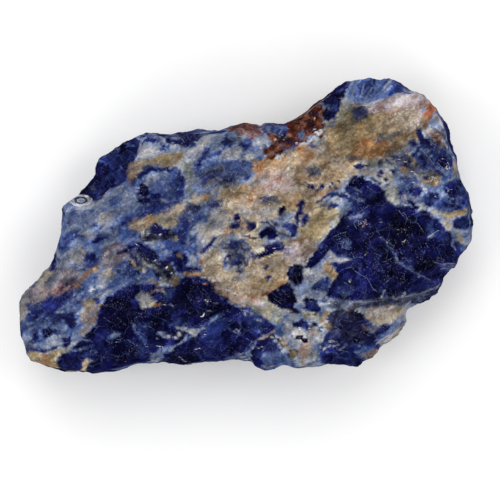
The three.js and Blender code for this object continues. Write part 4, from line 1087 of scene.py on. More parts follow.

# Painted glints: small white flashes of light on crystal faces, painted into the colour: x, y, how big in pixels and
# which way they lie, in degrees.
PAINTED_GLINTS = [
    (160.3, 234.7, 2.6, -30), (166.5, 267.4, 3, -50), (168, 255.4, 1.9, 0), (171, 255.6, 1.2, 0),
    (154.6, 260.6, 1.6, -30), (147.4, 259, 1.2, 0), (143.2, 231.6, 1.4, 0), (143.4, 233.6, 1.4, 0),
    (149.4, 233.4, 1, 0), (171, 273, 1.6, -40), (155.8, 226.4, 1.4, 60), (143, 223, 1, 0),
    (136.6, 244.6, 2, 40), (203.3, 314.8, 3, -70), (201.6, 316.4, 1.4, 0), (207.2, 302, 1.5, 10),
    (210, 301.2, 1.1, 0), (205.4, 299.6, 1.2, -20), (198.6, 301.4, 1, 0), (160, 346.6, 2, -10),
    (162.8, 347.6, 1.3, 60), (157.6, 346, 1, 0), (165.6, 362.3, 1.6, 10), (182.6, 359.8, 2, 35),
    (184.6, 361.2, 1.6, 10), (180, 357.4, 1.2, 40), (199, 348, 1.3, 0), (196.3, 349.3, 1, 0),
    (147, 346.6, 1, 0), (117.8, 342, 1, 0), (245, 313.2, 1.8, 60), (242.3, 310, 1, 0), (205.3, 334.6, 1.2, 0),
    (164, 304.6, 1, 0), (246.8, 315.6, 1, 0), (104.4, 255.7, 1.3, 30), (118, 269, 1, 0), (395.6, 113.8, 2, -20),
    (403.6, 111.2, 1.5, -40), (407.6, 109.6, 1.5, 0), (412, 104, 1.5, 20), (414, 107.4, 1.5, 80),
    (415.6, 114.4, 1.2, 0), (399, 112.6, 1.2, 0), (406, 113.6, 1, 0), (411, 125.6, 1.2, 0), (398, 126, 1.2, 0),
    (401, 118, 1, 0), (409, 120, 1, 30), (391, 116.4, 1, 0), (446.4, 166.6, 2, -30), (448.4, 163.4, 1.5, 50),
    (447.6, 169, 1.2, 0), (442.4, 159, 1, 0), (449.6, 167.4, 1.2, 70), (399, 159.4, 1.2, 0),
    (405, 161.8, 1.5, 20), (412, 171.4, 1.2, 0), (415, 174, 1.4, 40), (434, 178.2, 1.6, -20),
    (437.2, 178.4, 1.6, 30), (431, 180.8, 1.3, 0), (436.6, 182.8, 1.6, -20), (428, 181.2, 1.3, 30),
    (413.5, 182.6, 1.2, 0), (432.4, 176.4, 1, 0), (439.4, 180.4, 1.2, 0), (435.6, 196.6, 1.2, 40),
    (451, 189.6, 1, 0), (405.6, 198, 1.2, 60), (406, 205.6, 1.4, 0), (403.4, 204, 1, 0),
    (403.4, 229.4, 1.5, 20), (397.6, 229.6, 1, 0), (405.2, 240, 1.5, -40), (403.2, 241.8, 1.2, 0),
    (396, 258.5, 1.6, 20), (365.4, 254.6, 2, -40), (360, 198.6, 1.2, 0), (274.4, 204.4, 1.6, -20),
    (269.4, 204.4, 1.3, 0), (220, 204, 1.3, 60), (213, 202, 1, 0), (216, 212, 1, 0), (228, 158.5, 1.4, 40),
    (240, 147, 1, 0), (231, 189.5, 1.7, 70), (234, 192, 1.3, 60), (276.6, 176.4, 1, 0), (295, 244, 1.3, -20),
    (297, 260, 1.2, 0), (274.5, 248, 1.2, 0), (287.6, 324.2, 2, 20), (309.4, 328.4, 1.5, 0), (318, 324, 1.2, 0),
    (330.4, 342.4, 1.8, 0), (333, 347.6, 1, 0), (257.2, 321, 1.2, 0), (262, 347, 1.4, 0), (258.6, 348, 1, 0),
    (311, 298, 1.2, 0), (316.4, 132.4, 2, 20), (318.2, 134.6, 2.4, 70), (321.2, 130.6, 1.6, 0),
    (320.6, 133.6, 1.4, 40), (315, 129.6, 1.1, 0), (268, 145.4, 1.5, 20), (276, 140, 1.1, 0),
    (296, 142.6, 1.3, 0), (310, 141, 1.1, 0), (302.6, 143.4, 1, 0), (340, 205, 1.2, 0), (381, 222.4, 1.1, 0),
    (404, 293, 1.2, 0), (382, 297.5, 1.2, 50), (345, 258.4, 1.1, 0),
]

# Last touches over the others: middle, knob, right rim, left end and left cloud. The dark slate and navy below the
# ridge at the lower right are partly painted shade of the bevel that faces down, away from the light, and the small
# snow specks on the knob and by the lavender patch are painted glints.
TOUCHES = """
slate 3 .8: 143,232 148,226 156,223.6 164,227 172,231 175.4,237 168,241 158,242 148,241 143,238
navy 2 .85: 150,228 156,224 164,227 171,232 166,236 158,234 152,233
night 1.6 .7: o4,2 148,237; o5,2,10 164,238.6; o2,2 155,237; o2,1.4 170,235
sage 1.6 .6: w1.2 143,237 149,240.6 156,241.4; w1 147,231 150,235; o1.6,1 160,240
slate 3 .7: 127,252 134,249 142,254 150,257 160,261 170,267 176,276 172,283 163,281 154,272 144,268 136,262
 130,258
navy 2.4 .8: 138,248 147,245 152,252 158,258 152,262 145,256; o5,4 170,259; 158,262 166,262 168,268 161,268
night 1.6 .75: w2.6 130,254 135,260 138,264; w2.4 141,256 148,262; o4.6,3,45 167,274; w2 152,262 160,268; o3,2,30
 158,276
sage 2 .7: w2.4 142,262 150,268 156,270; o3,2,30 163,279; o2,1.6 150,266
tan 1.6 .5: w1.4 129,258 134,264; o2,1.4 171,281
blue 6 .5: o13,9,-15 158,184; o8,9 174,186
navy 4 .5: w5 132,180 134,192 142,200 156,202; w3.4 128,172 138,168 150,167
slate 5 .55: 206,166 226,162 246,164 250,174 238,184 220,186 206,180
blue 4 .6: w5 208,178 224,172 240,168; o8,4,-20 232,178
night 3 .4: o5,3,-15 226,180; o4,2,-15 212,172
azure 2.4 .5: w1.6 206,170 218,166 232,162; w1.4 214,184 228,178 240,176
slate 4 .75: 330,301 346,299 362,302 366,307 352,309 338,310 330,308
slate 6 .5: 330,313 346,311 360,316 362,328 350,338 336,340 330,330; w5 366,300.5 392,299 414,296.4
navy 5 .5: 340,318 352,318 356,330 346,336 338,330; 360,336 380,330 392,326 384,338 366,346
cream 5 .7: 364,310 374,306 388,305 400,307 402,314 392,321 378,322 368,318
pale 4 .5: o9,4,-10 384,312; o4,3 372,313
cloud 4 .5: w3 398,320 406,314; o5,2.6,-30 400,326
slate 4 .35: o7,10 304.6,356; o6,5 284,343
pink 5 .5: o14,5,-12 396,101; w4 380,104 396,98 414,96
snow 4 .2: o12,4,-12 396,101
peach 5 .4: o12,9,-10 400,117
pale 3 .4: o7,4,-20 404,112; o5,3 392,120; o4,3 410,124
butter 3 .4: o4,2,-20 398,114; o3,2 406,120; o4,2 388,116
sage 4 .65: w8 411,318 404,329 393,340; o5,4 398,332
tan 2.4 .8: w4 410,323 402,333 391,342 383,348; w3 377,353 366,361
pale 3.4 .5: w4 70,210 88,206 108,204; o8,4,-20 96,218; o6,3,-30 122,214; w3 64,232 76,226 88,224
cloud 4 .6: o10,6,-20 78,222; o8,5 110,232; o7,5,-30 76,246; w5 118,206 132,202
navy 3 .5: o5,3,-20 98,240; o4,2.4 84,236; o3,2,-30 70,222
navy 4 .65: 424,134 434,138 444,146 450,160 444,164 434,156 426,146; w4 420,150 430,162 438,172
azure 2 .5: w1.4 430,136 436,148 446,158; w1.2 426,150 440,152
slate 3 .55: o9,6,-20 400,160; w5 388,152 398,156 410,166
navy 2 .5: o3,2 396,158; o2.4,2,40 406,164; o3,1.6,-30 412,156; w2 386,158 392,164
tan 2 .6: w1.6 404,150 410,156 413,163; o2.4,1.8 404.5,170
cream 4 .6: o11,9,-30 407,121; o9,5,-20 394,116; w5 380,124 392,118
pink 4 .5: o16,5,-14 396,100; w4 376,106 392,99
snow 4 .3: o14,4,-14 396,100
snow 1 .75: o1,.8 404,108; o.8,.7 408,111; o1,.7 413,109; o.9,.7 399,113; o1.1,.8 417,116; o.8,.6 410,117; o1,.8
 403,119; o.8,.7 414,123; o1,.9 420,125; o.9,.7 407,127; o.8,.6 396,121; o.8,.8 390,117; o1,.7 412,131; o.8,.7
 400,130; o.7,.6 386,122
navy 4 .55: o9,4,-35 44,304; o6,3,-30 60,318; o5,3 34,328; o5,2.6,-40 50,282; w4 62,288 72,280
blue 4 .4: o8,4,-30 112,176; w5 118,164 130,152 142,146; w4 96,190 106,180
slate 4 .3: 226,242 236,240 246,246 248,256 240,262 230,258; w3 258,246 266,244; w3 262,216 272,217 282,220
navy 2 .7: w3 231,227 235,225 240,222.6; o3.4,2.6 235.6,217.6; o4.6,4,10 251,228; w2.4 246,236 251,238 256,240;
 o2,1.4,-20 262,223; o2.4,1.4,10 273,220.6; o1.4,1.2 268,222
navy 2 .6: w2 229,244 234,248 238,254; w2 236,243 241,248 245,252; w1.6 232,254 238,258 244,258; o2.4,1.6,30
 240,262; o3,2 238,270; w1.6 244,262 248,266
blue 2 .7: w2 283,224 288,222 294,224; w1.6 286,228 292,231 297,230; o3,2.4 291,226; w1.6 300,206 303,214 308,222;
 w1.6 284,234 290,238
cream 1.6 .6: w1.4 281,230 286,234; w1.2 264,247 268,250
sage 2.4 .5: w2 244,232 250,234 258,232; w1.6 255,242 262,241 270,243; w2 286,240 280,246; w2 208,226 216,222
night 2 .8: 288,267 296,265.6 303,267 304,276 301,284 292,285 288,279
snow 1 .6: o.9,.7 290,246; o1,.8 286,251; o.8,.7 293,251; o.9,.7 283,244; o.8,.6 296,248
pale 1 .3: w.9 290,268 296,276 300,284; w.8 276,288 282,296; w.8 306,292 312,298; w.8 304,270 310,276
brown 3 .5: o8,4,-12 378,150; w3 366,156 380,152 392,148
"""

# from the ground up
ORDER = (
    GROUND, LEFT_CLOUD, TOP_LEFT, CENTRE, TAN_BAND, MIDDLE_LEFT, LEFT_END, LOWER_NAVY, KNOB, RIGHT_TOP, TOP_MIDDLE,
    BOTTOM_RIGHT, RIGHT_NAVY, TOUCHES)
MARKS = [mark for group in ORDER for mark in drawn(group)]
CRISP = drawn(RING) + drawn(STEEL_FACET_SHEEN) + drawn(SMALL_SPOTS)  # these keep their edges as drawn
LINES = drawn(HAIRLINES) + [flash(*numbers) for numbers in PAINTED_GLINTS]


# ---------------------------------------------------------------- shape
NEIGHBOURS = [np.array([dx, dy, dz]) for dx in (-1, 0, 1) for dy in (-1, 0, 1) for dz in (-1, 0, 1)]
LEAN = 1.1  # how strongly the scattered seeds lean


def scattered(p, size, seed):
    """Each scattered seed near each place: the way from it, in cell sizes, and three numbers of its own."""
    q = p / size
    base = np.floor(q).astype(np.int64)
    for step in NEIGHBOURS:
        cell = base + step
        draws = [lattice(cell, seed + k) for k in range(6)]
        yield q - cell - np.column_stack(draws[:3]), np.column_stack(draws[3:]) - 0.5


def cells(p, size, seed):
    """Scoops with sharp rims: the squared distance (in cell sizes) to the best seed, each leaning its own way."""
    best = np.full(len(p), 1e9)
    for away, own in scattered(p, size, seed):
        best = np.minimum(best, (away**2).sum(1) + (away * (own * LEAN)).sum(1))
    return best


def planes(p, size, seed):
    """Small flat steps: each scattered cell is a plane of its own tilt."""
    best = np.full(len(p), 1e9)
    height = np.zeros(len(p))
    for away, own in scattered(p, size, seed):
        near = (away**2).sum(1)
        height = np.where(near < best, (away * own * 2).sum(1), height)
        best = np.minimum(best, near)
    return height


def photo_place(co):
    """Where a point of the stone appears in the picture, in pixels."""
    scale = PICTURE * LENS / SENSOR / (CAMERA_HEIGHT - co[:, 2])
    x = PICTURE / 2 + (co[:, 0] - AIM[0]) * scale
    y = PICTURE / 2 - (co[:, 1] - AIM[1]) * scale
    return np.column_stack([x, y])


def read(items, field, width):
    values = np.zeros(len(items) * width)
    items.foreach_get(field, values)
    return values.reshape(-1, width)


def places(mesh):
    """The vertices' coordinates and their normals."""
    return read(mesh.vertices, "co", 3), read(mesh.vertices, "normal", 3)


def place(mesh, co):
    mesh.vertices.foreach_set("co", settled(co).ravel())
    mesh.update()


def settled(co):
    """Keeps the chunk as high as its CAD solid and resting on the ground."""
    height = np.maximum(co[:, 2], 0)
    return np.column_stack([co[:, :2], height * CAD_BOX[1][2] / height.max()])


def apply_modifiers(piece):
    ready = piece.evaluated_get(bpy.context.evaluated_depsgraph_get())
    mesh = bpy.data.meshes.new_from_object(ready)
    piece.modifiers.clear()
    piece.data = mesh


def dense_copy(name):
    """The CAD chunk, remeshed finely."""
    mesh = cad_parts[NODE].data.copy()
    mesh.name = name
    piece = bpy.data.objects.new(name, mesh)
    bpy.context.scene.collection.objects.link(piece)
    remesh = piece.modifiers.new("remesh", "REMESH")
    remesh.mode = "VOXEL"
    remesh.voxel_size = FACE_GRAIN
    apply_modifiers(piece)
    return piece


def thin(piece, lowest, highest, keep=None):
    """Thins the triangles whose normals rise between lowest and highest: to a share of them, or until TRIANGLES are
    left of all."""
    mesh = piece.data
    mesh.calc_loop_triangles()
    total = len(mesh.loop_triangles)
    co, normal = places(mesh)
    rise = normal[:, 2]
    band = np.flatnonzero((rise >= lowest) & (rise < highest) & (co[:, 2] > BASE))
    group = piece.vertex_groups.new(name="band")
    group.add(band.tolist(), 1.0, "REPLACE")
    modifier = piece.modifiers.new("thin", "DECIMATE")
    modifier.vertex_group = group.name
    modifier.use_collapse_triangulate = True
    modifier.ratio = 1 - (1 - keep) * len(band) / len(rise) if keep else TRIANGLES / total
    apply_modifiers(piece)
    piece.vertex_groups.clear()


# ---------------------------------------------------------------- relief
def relief(q):
    """How far the face stands out or in at each pixel place, in millimetres."""
    out = np.zeros(len(q))
    for kind, size, fade, points in RELIEF:
        away = distance_to_path(q, points if kind == "ridge" else points + points[:1])
        if kind == "ridge":
            out += size * smooth(away, fade, 0)
        elif kind == "hollow":
            out -= size * smooth(np.where(inside(q, points), away, 0), 0, fade)
        else:
            out += size * smooth(np.where(inside(q, points), away, -away), -fade / 2, fade / 2)
    return out


# kind, height in millimetres, how far it fades in pixels, and its corners or path
RELIEF = [
    # the cream body stands a step above the navy below it
    ("step", 0.9, 5, [(186, 276), (206, 276), (214, 287), (224, 298), (240, 305), (262, 305), (290, 292),
        (300, 262), (330, 238), (345, 215), (345, 180), (400, 150), (420, 110), (360, 108), (300, 140),
        (262, 160), (230, 200), (200, 240)]),
    # the steel-blue facet falls away at the top
    ("step", -0.8, 3, [(343, 86), (348, 70), (371, 68), (414, 78), (414, 91), (397, 92.5), (381, 98),
        (360, 104.5), (352, 99.5)]),
    ("ridge", 0.5, 4, [(360, 302), (378, 299.5), (403, 295), (420, 293), (433, 288), (445, 280)]),
    ("step", -1.0, 5, [(355, 306), (378, 302), (403, 299), (420, 297), (434, 292), (446, 284), (470, 300),
        (430, 350), (360, 380), (340, 340)]),
    ("hollow", 0.7, 12, [(350, 185), (385, 195), (392, 215), (380, 245), (350, 255), (330, 245), (342, 215)]),
    ("hollow", 0.8, 12, [(392, 210), (430, 214), (455, 245), (440, 262), (410, 262), (385, 238)]),
    ("hollow", 0.7, 12, [(340, 262), (378, 250), (405, 268), (430, 282), (400, 294), (350, 296)]),
    ("hollow", 0.7, 14, [(110, 300), (150, 286), (200, 280), (216, 300), (200, 325), (150, 330), (100, 325)]),
    ("hollow", 0.6, 12, [(90, 345), (150, 335), (158, 350), (150, 368), (90, 372)]),
    ("hollow", 0.6, 12, [(166, 350), (200, 340), (250, 335), (250, 352), (220, 364), (165, 366)]),
    ("ridge", 0.35, 3, [(220, 317), (206, 325), (196, 333), (187, 338), (172, 347), (160, 355)]),
    ("ridge", 0.35, 3, [(276, 330), (264, 335), (254, 341), (248, 350), (223, 362)]),
    ("ridge", 0.3, 3, [(382, 239), (391, 253), (402, 262), (413, 268), (426, 279), (438, 280)]),
    ("ridge", 0.3, 3, [(433, 262), (444, 264), (456, 268)]),
    ("ridge", 0.4, 4, [(390, 212), (400, 228), (410, 244), (420, 254), (436, 262)]),
    ("ridge", 0.3, 3, [(353, 270), (366, 277), (370, 285), (377, 291)]),
    ("step", -0.7, 4, [(60, 200), (94, 200), (112, 186), (124, 182), (131, 163), (140, 146), (150, 120),
        (60, 130)]),
]


def near_waist(co):
    """1 at the widest outline, down to 0 some way above and below it."""
    return smooth(np.abs(co[:, 2] - waist(co)), 5 * MM, 2 * MM)


# Sizes in millimetres and seeds of the cells and steps that shape the stone.
SCOOP, BITE, STEP, GRIT = (13, 10), (5.2, 20), (2.6, 30), (1.1, 40)
NICK, SMALL_NICK = (5.5, 50), (2.3, 55)  # chips along the waist
UPRIGHT = [1, 1, 0.3]  # those are about three times as high as wide


def shaped(piece):
    """Moves the vertices along their normals into scoops, flat steps and the broader relief of the face."""
    mesh = piece.data
    co, normal = places(mesh)
    p = co / MM
    seen = smooth(co[:, 2] - waist(co), 0, 2.5 * MM)
    up = np.maximum(smooth(normal[:, 2], 0.15, 0.75), seen)
    q = photo_place(co) + 1.2 * np.column_stack([noise(p, 2.2, 61), noise(p, 2.2, 62)])
    wobble = p + 0.9 * bends(p, 4, 70, 3)

    # each moves the surface by so many millimetres at the sides, and by less on the face; the steep upper sides
    # keep only a quarter of the smaller ones
    broad = (1.3 - 0.85 * up) * (cells(wobble, *SCOOP) - CLEAR)
    fine = (0.55 - 0.33 * up) * (cells(wobble, *BITE) - CLEAR)
    fine += (0.2 - 0.06 * up) * planes(wobble, *STEP)
    fine += 0.07 * planes(p, *GRIT)
    calm = 1 - 0.75 * seen * smooth(normal[:, 2], 0.85, 0.35)
    upright = p * UPRIGHT
    nick = 0.75 * (cells(upright, *NICK) - CLEAR) + 0.4 * (cells(upright, *SMALL_NICK) - CLEAR)
    out = broad + (calm * fine + up * relief(q) + near_waist(co) * nick)
    place(mesh, co + normal * (out * MM)[:, None])


def grained(mesh, grain):
    """The finest relief: sugary where the mineral is granular, smooth where it is glassy."""
    co, normal = places(mesh)
    p = co / MM
    out = 0.05 * grain * (planes(p, 1.1, 45) + noise(p, 0.55, 50))
    place(mesh, co + normal * (out * MM)[:, None])


# ---------------------------------------------------------------- colour on the stone
def all_round(co, chosen, how_high):
    """A height for each vertex that changes smoothly round the stone, from how_high of the chosen ones in each
    direction."""
    turn = np.arctan2(co[:, 1], co[:, 0])
    slot = np.floor((turn / (2 * np.pi) + 0.5) * SLOTS).astype(int) % SLOTS
    height = np.full(SLOTS, np.nan)
    for k in range(SLOTS):
        own = co[chosen & (slot == k)]
        if len(own):
            height[k] = how_high(own)
    centres = ((np.arange(SLOTS) + 0.5) / SLOTS - 0.5) * 2 * np.pi
    known = ~np.isnan(height)
    height = np.interp(centres, centres[known], height[known], period=2 * np.pi)
    height = (height + np.roll(height, 1) + np.roll(height, -1)) / 3
    return np.interp(turn, centres, height, period=2 * np.pi)


def waist(co):
    """Height of the widest outline, in each vertex's direction."""

    def height_of_outermost(own):
        return own[np.argsort(np.hypot(own[:, 0], own[:, 1]))[-OUTERMOST:], 2].mean()

    return all_round(co, np.ones(len(co), bool), height_of_outermost)


def shoulder(co, middle):
    """Height at which the face turns down into the side, in each vertex's direction."""
    edge = distance_to_path(photo_place(co), OUTLINE + OUTLINE[:1])
    chosen = (edge > EDGE - 1) & (edge < EDGE + 1) & (co[:, 2] > middle)
    return all_round(co, chosen, lambda own: own[:, 2].mean())


# mineral, size of its patches in pixels, seed, how strong the noise must be before it shows, and how fully it covers
SIDE_PATCHES = [
    ("azure", 40, 750, 0.0, 0.6),
    ("navy", 60, 760, -0.16, 0.9),
    ("cloud", 30, 770, 0.12, 0.6),
    ("night", 30, 800, 0.15, 0.7),
]
FOLD = 0.8  # how far the side reads into the face, as a share of how far it lies below the shoulder
SOFT_FOLD = 4  # pixels over which that sets in
SIDE_BEND, STEEP_BEND, UNDER_BEND = 26, 6, 26  # how far the folded colours are bent there, in pixels
UNDER_SHIFT = [14, -10]  # the underside's colours are shifted so far


def stone_colours(co, normal):
    """The painted face, folded down over the sides and, bent and shifted, through to the underside."""
    p = co / MM
    flat = photo_place(co)
    middle = waist(co)
    off_ring = smooth(np.hypot(*(flat - RING_PLACE).T), 10, 24)
    drop = np.maximum(0, shoulder(co, middle) - co[:, 2]) / PIXEL  # how far below the face's shoulder, in pixels
    drop = drop**2 / (drop + SOFT_FOLD)
    drop *= np.maximum(off_ring, smooth(middle - co[:, 2], -1 * MM, 3 * MM))
    inward = MIDDLE_PLACE - flat
    inward /= np.linalg.norm(inward, axis=1)[:, None] + 1e-9
    steep = smooth(normal[:, 2], 0.6, 0.25) * off_ring
    bend = SIDE_BEND * smooth(drop, 0, 50)[:, None] * bends(p, 11, 700)
    bend += STEEP_BEND * steep[:, None] * bends(p, 6, 710)
    folded = flat + inward * drop[:, None] * FOLD + bend
    face = paint(np.column_stack([folded, drop]), MARKS, CRISP)

    wide = co / PIXEL
    for name, size, seed, least, cover in SIDE_PATCHES:
        shown = cover * smooth(drop, 3, 16) * smooth(fractal(wide, size, seed, 3, 0.65), least, least + 0.22)
        face = face * (1 - shown[:, None]) + mineral(name, wide, wide) * shown[:, None]

    below = (middle - co[:, 2]) / PIXEL  # how far below the widest outline
    low = below > 5
    under = flat[low] + UNDER_SHIFT + UNDER_BEND * bends(p[low], 16, 720)
    back = paint(np.column_stack([under, drop[low]]), MARKS[1:])
    turn = smooth(below[low] + 14 * fractal(p[low], 5, 740, 2), 24, 46)[:, None]
    face[low] = face[low] * (1 - turn) + back * turn
    return face


def hairlines(co, normal):
    """Where each vertex lies across the nearest hairline, in half-widths of it; how much of it shows; its colour."""
    q = photo_place(co)
    q = q + 0.5 * np.column_stack([noise(co / MM, 0.9, 760), noise(co / MM, 0.9, 770)])
    seen = co[:, 2] > shoulder(co, waist(co)) - RIM
    nearest = np.where(seen, FAR_FROM_LINES, 0.0)
    across, show, colour = np.full(len(q), FAR_FROM_LINES), np.zeros(len(q)), np.zeros((len(q), 3))
    for _, name, (width,), points, _, cover in LINES:
        low, high = np.min(points, 0) - LINE_REACH, np.max(points, 0) + LINE_REACH
        near = np.flatnonzero(((q > low) & (q < high)).all(1))
        for k, (a, b) in enumerate(zip(points[:-1], points[1:])):
            length = math.dist(a, b)
            way = (np.array(b) - a) / length
            along = (q[near] - a) @ way
            side = (q[near] - a) @ [-way[1], way[0]]
            away = np.hypot(side, np.maximum(np.maximum(-along, along - length), 0))
            past = np.maximum(-along * (k == 0), (along - length) * (k == len(points) - 2))
            better = away < nearest[near]
            take = near[better]
            nearest[take] = away[better]
            across[take] = side[better] * 2 / (LINE_WIDTH * width)
            show[take] = cover * smooth(away[better], LINE_REACH, 1.8) * smooth(past[better], 1.3, 0.2)
            colour[take] = MINERALS[name][0]
    return across, show * (0.3 + 0.7 * smooth(normal[:, 2], 0.2, 0.5)), colour


def sharpened(mesh, colour):
    """Makes each vertex stand out from its neighbours, because the shading between vertices blurs them."""
    edges = np.zeros(len(mesh.edges) * 2, np.int64)
    mesh.edges.foreach_get("vertices", edges)
    a, b = edges.reshape(-1, 2).T
    total = np.zeros_like(colour)
    count = np.bincount(edges, minlength=len(colour))[:, None]
    for channel in range(colour.shape[1]):
        own = colour[:, channel]
        total[:, channel] = np.bincount(a, own[b], len(own)) + np.bincount(b, own[a], len(own))
    return np.clip(colour + SHARPEN * (colour - total / np.maximum(count, 1)), 2, 250)


def linear(colour):
    """From sRGB numbers of 0 to 255 to linear ones of 0 to 1."""
    c = np.clip(colour / 255, 0, 1)
    return np.where(c <= 0.04045, c / 12.92, ((c + 0.055) / 1.055) ** 2.4)


def keep_colours(mesh, painted, lines):
    across, show, line_colour = lines
    for name, colour in {"stone_colour": painted[:, :3], "line_colour": line_colour}.items():
        shade = mesh.color_attributes.new(name, "FLOAT_COLOR", "POINT")
        rgba = np.ones((len(painted), 4))
        rgba[:, :3] = DEPTH * linear(colour)
        shade.data.foreach_set("color", rgba.ravel())
    numbers = {
        "stone_roughness": painted[:, 3],
        "stone_grain": painted[:, 4],
        "line_across": across,
        "line_show": show,
    }
    for name, values in numbers.items():
        mesh.attributes.new(name, "FLOAT", "POINT").data.foreach_set("value", values)


# ---------------------------------------------------------------- material
class Nodes:
    """Adds shader nodes and joins them, one short call each."""

    def __init__(self, tree):
        self.tree = tree
        tree.nodes.clear()

    def add(self, kind, settings=(), **inputs):
        """A node; an input is named, with _ for a space, or numbered after a _, and takes a socket or a number."""
        node = self.tree.nodes.new("ShaderNode" + kind)
        for key, value in dict(settings).items():
            setattr(node, key, value)
        for key, value in inputs.items():
            socket = node.inputs[int(key[1:])] if key[1:].isdigit() else node.inputs[key.replace("_", " ")]
            if isinstance(value, bpy.types.NodeSocket):
                self.tree.links.new(value, socket)
            else:
                socket.default_value = value
        return node

    def math(self, operation, *values):
        inputs = {f"_{k}": value for k, value in enumerate(values)}
        return self.add("Math", {"operation": operation}, **inputs).outputs[0]

    def product(self, first, *others):
        for other in others:
            first = self.math("MULTIPLY", first, other)
        return first

    def around_zero(self, value):
        return self.math("SUBTRACT", value, 0.5)

    def vector(self, operation, first, *second, **inputs):
        """Vector arithmetic; a scale is given as Scale=."""
        inputs = {"_0": first, **{"_1": other for other in second}, **inputs}
        return self.add("VectorMath", {"operation": operation}, **inputs).outputs[0]

    def eased(self, value, start, end, low=0.0, high=1.0):
        """The value mapped from start..end to low..high, and held there."""
        return self.add("MapRange", Value=value, From_Min=start, From_Max=end, To_Min=low, To_Max=high).outputs[0]

    def stored(self, name, output="Fac"):
        """What the mesh keeps at its vertices under that name."""
        return self.add("Attribute", {"attribute_name": name}).outputs[output]

    def noise(self, place, scale, output="Fac", **inputs):
        return self.add("TexNoise", Vector=place, Scale=scale, **inputs).outputs[output]

    def crystals(self, place, scale):
        """A random colour for each of the small cells."""
        return self.add("TexVoronoi", {"voronoi_dimensions": "3D"}, Vector=place, Scale=scale).outputs["Color"]

    def channel(self, colour, name):
        return self.add("SeparateColor", Color=colour).outputs[name]

    def over(self, amount, below, above):
        """One colour over another."""
        return self.add("Mix", {"data_type": "RGBA"}, _0=amount, _6=below, _7=above).outputs[2]


# How many cells or bumps the material's textures have to a metre.
CRYSTALS, SUGAR, GLINT_SPECKS, GLINT_CROWDS, LINE_GAPS, FACET_BENDS = 2600.0, 2300.0, 4800.0, 210.0, 2600.0, 420.0
FACET_LINE = (0.16, 0.2, 0.42, 1)
# cells to a metre, how much the facets differ, how much their hairlines show and how wide these are
FACETS = ((330.0, 0.5, 0.42, 0.018), (700.0, 0.35, 0.26, 0.026))


def stone_material():
    material = bpy.data.materials.new("sodalite")
    material.use_nodes = True
    n = Nodes(material.node_tree)
    grainy = n.stored("stone_grain")
    place = n.add("TexCoord").outputs["Object"]
    crystal = n.crystals(place, CRYSTALS)
    sugar = n.noise(place, SUGAR, Detail=3.0, Roughness=0.7)

    shaded = sugary(n, n.stored("stone_colour", "Color"), grainy, crystal, sugar)
    shaded = hackled(n, shaded, grainy, place)
    shaded = with_painted_glint_specks(n, shaded, place)
    shaded = lined(n, shaded, place)
    rough = n.math("ADD", n.stored("stone_roughness"), n.math("MULTIPLY_ADD", sugar, 0.16, -0.08))
    shader = n.add(
        "BsdfPrincipled", Base_Color=shaded, Roughness=rough, Normal=sparkling(n, grainy, crystal, sugar), IOR=1.45,
        Specular_IOR_Level=0.0)
    n.add("OutputMaterial", Surface=shader.outputs[0])
    return material


def sugary(n, colour, grainy, crystal, sugar):
    """Every small crystal is a little lighter or darker, most of all in granular stone."""
    lift = n.product(n.around_zero(n.channel(crystal, "Red")), n.product(grainy, 0.28))
    cloudy = n.product(n.around_zero(sugar), n.math("MULTIPLY_ADD", grainy, 0.2, 0.95))
    return n.vector("SCALE", colour, Scale=n.math("ADD", n.math("ADD", lift, cloudy), 1.0))


def hackled(n, colour, grainy, place):
    """Glassy stone breaks in small facets with pale hairlines between them; both fade where it is grainy."""
    bent = n.vector("SUBTRACT", n.noise(place, FACET_BENDS, "Color", Detail=2.0), (0.5, 0.5, 0.5))
    bent = n.vector("ADD", place, n.vector("SCALE", bent, Scale=1.2 * MM))
    glassy = n.eased(grainy, 0.75, 0.15)
    for scale, contrast, shown, width in FACETS:
        facet = n.product(n.around_zero(n.channel(n.crystals(bent, scale), "Green")), n.product(glassy, contrast))
        colour = n.vector("SCALE", colour, Scale=n.math("ADD", facet, 1.0))
        edge = n.add("TexVoronoi", {"feature": "DISTANCE_TO_EDGE"}, Vector=bent, Scale=scale).outputs["Distance"]
        patchy = n.eased(n.noise(place, scale * 0.8, Detail=2.0), 0.5, 0.66)
        amount = n.product(n.product(n.eased(edge, width, 0.0), patchy), n.product(glassy, shown))
        colour = n.over(amount, colour, FACET_LINE)
    return colour


def with_painted_glint_specks(n, colour, place):
    """Painted glints: specks much smaller than the crystals are painted lighter, as if they caught the light, and
    gather in crowds.
    """
    crowd = n.eased(n.noise(place, GLINT_CROWDS, Detail=3.0), 0.42, 0.68, 0.99, 0.9)
    glint_cells = n.channel(n.crystals(place, GLINT_SPECKS), "Green")
    speck = n.eased(n.math("SUBTRACT", glint_cells, crowd), 0.0, 0.05, high=0.36)
    glint = n.vector("ADD", n.vector("SCALE", colour, Scale=1.7), (0.2, 0.2, 0.26))
    return n.over(speck, colour, glint)


def lined(n, colour, place):
    """The hairlines and the flashes, which are painted glints; all but the strongest are broken."""
    show = n.stored("line_show")
    line = n.eased(n.math("ABSOLUTE", n.stored("line_across")), 1.4, 0.6)
    broken = n.eased(n.noise(place, LINE_GAPS, Detail=1.0), 0.4, 0.56)
    broken = n.math("MAXIMUM", broken, n.eased(show, 0.85, 1.0))
    return n.over(n.product(line, show, broken), colour, n.stored("line_colour", "Color"))


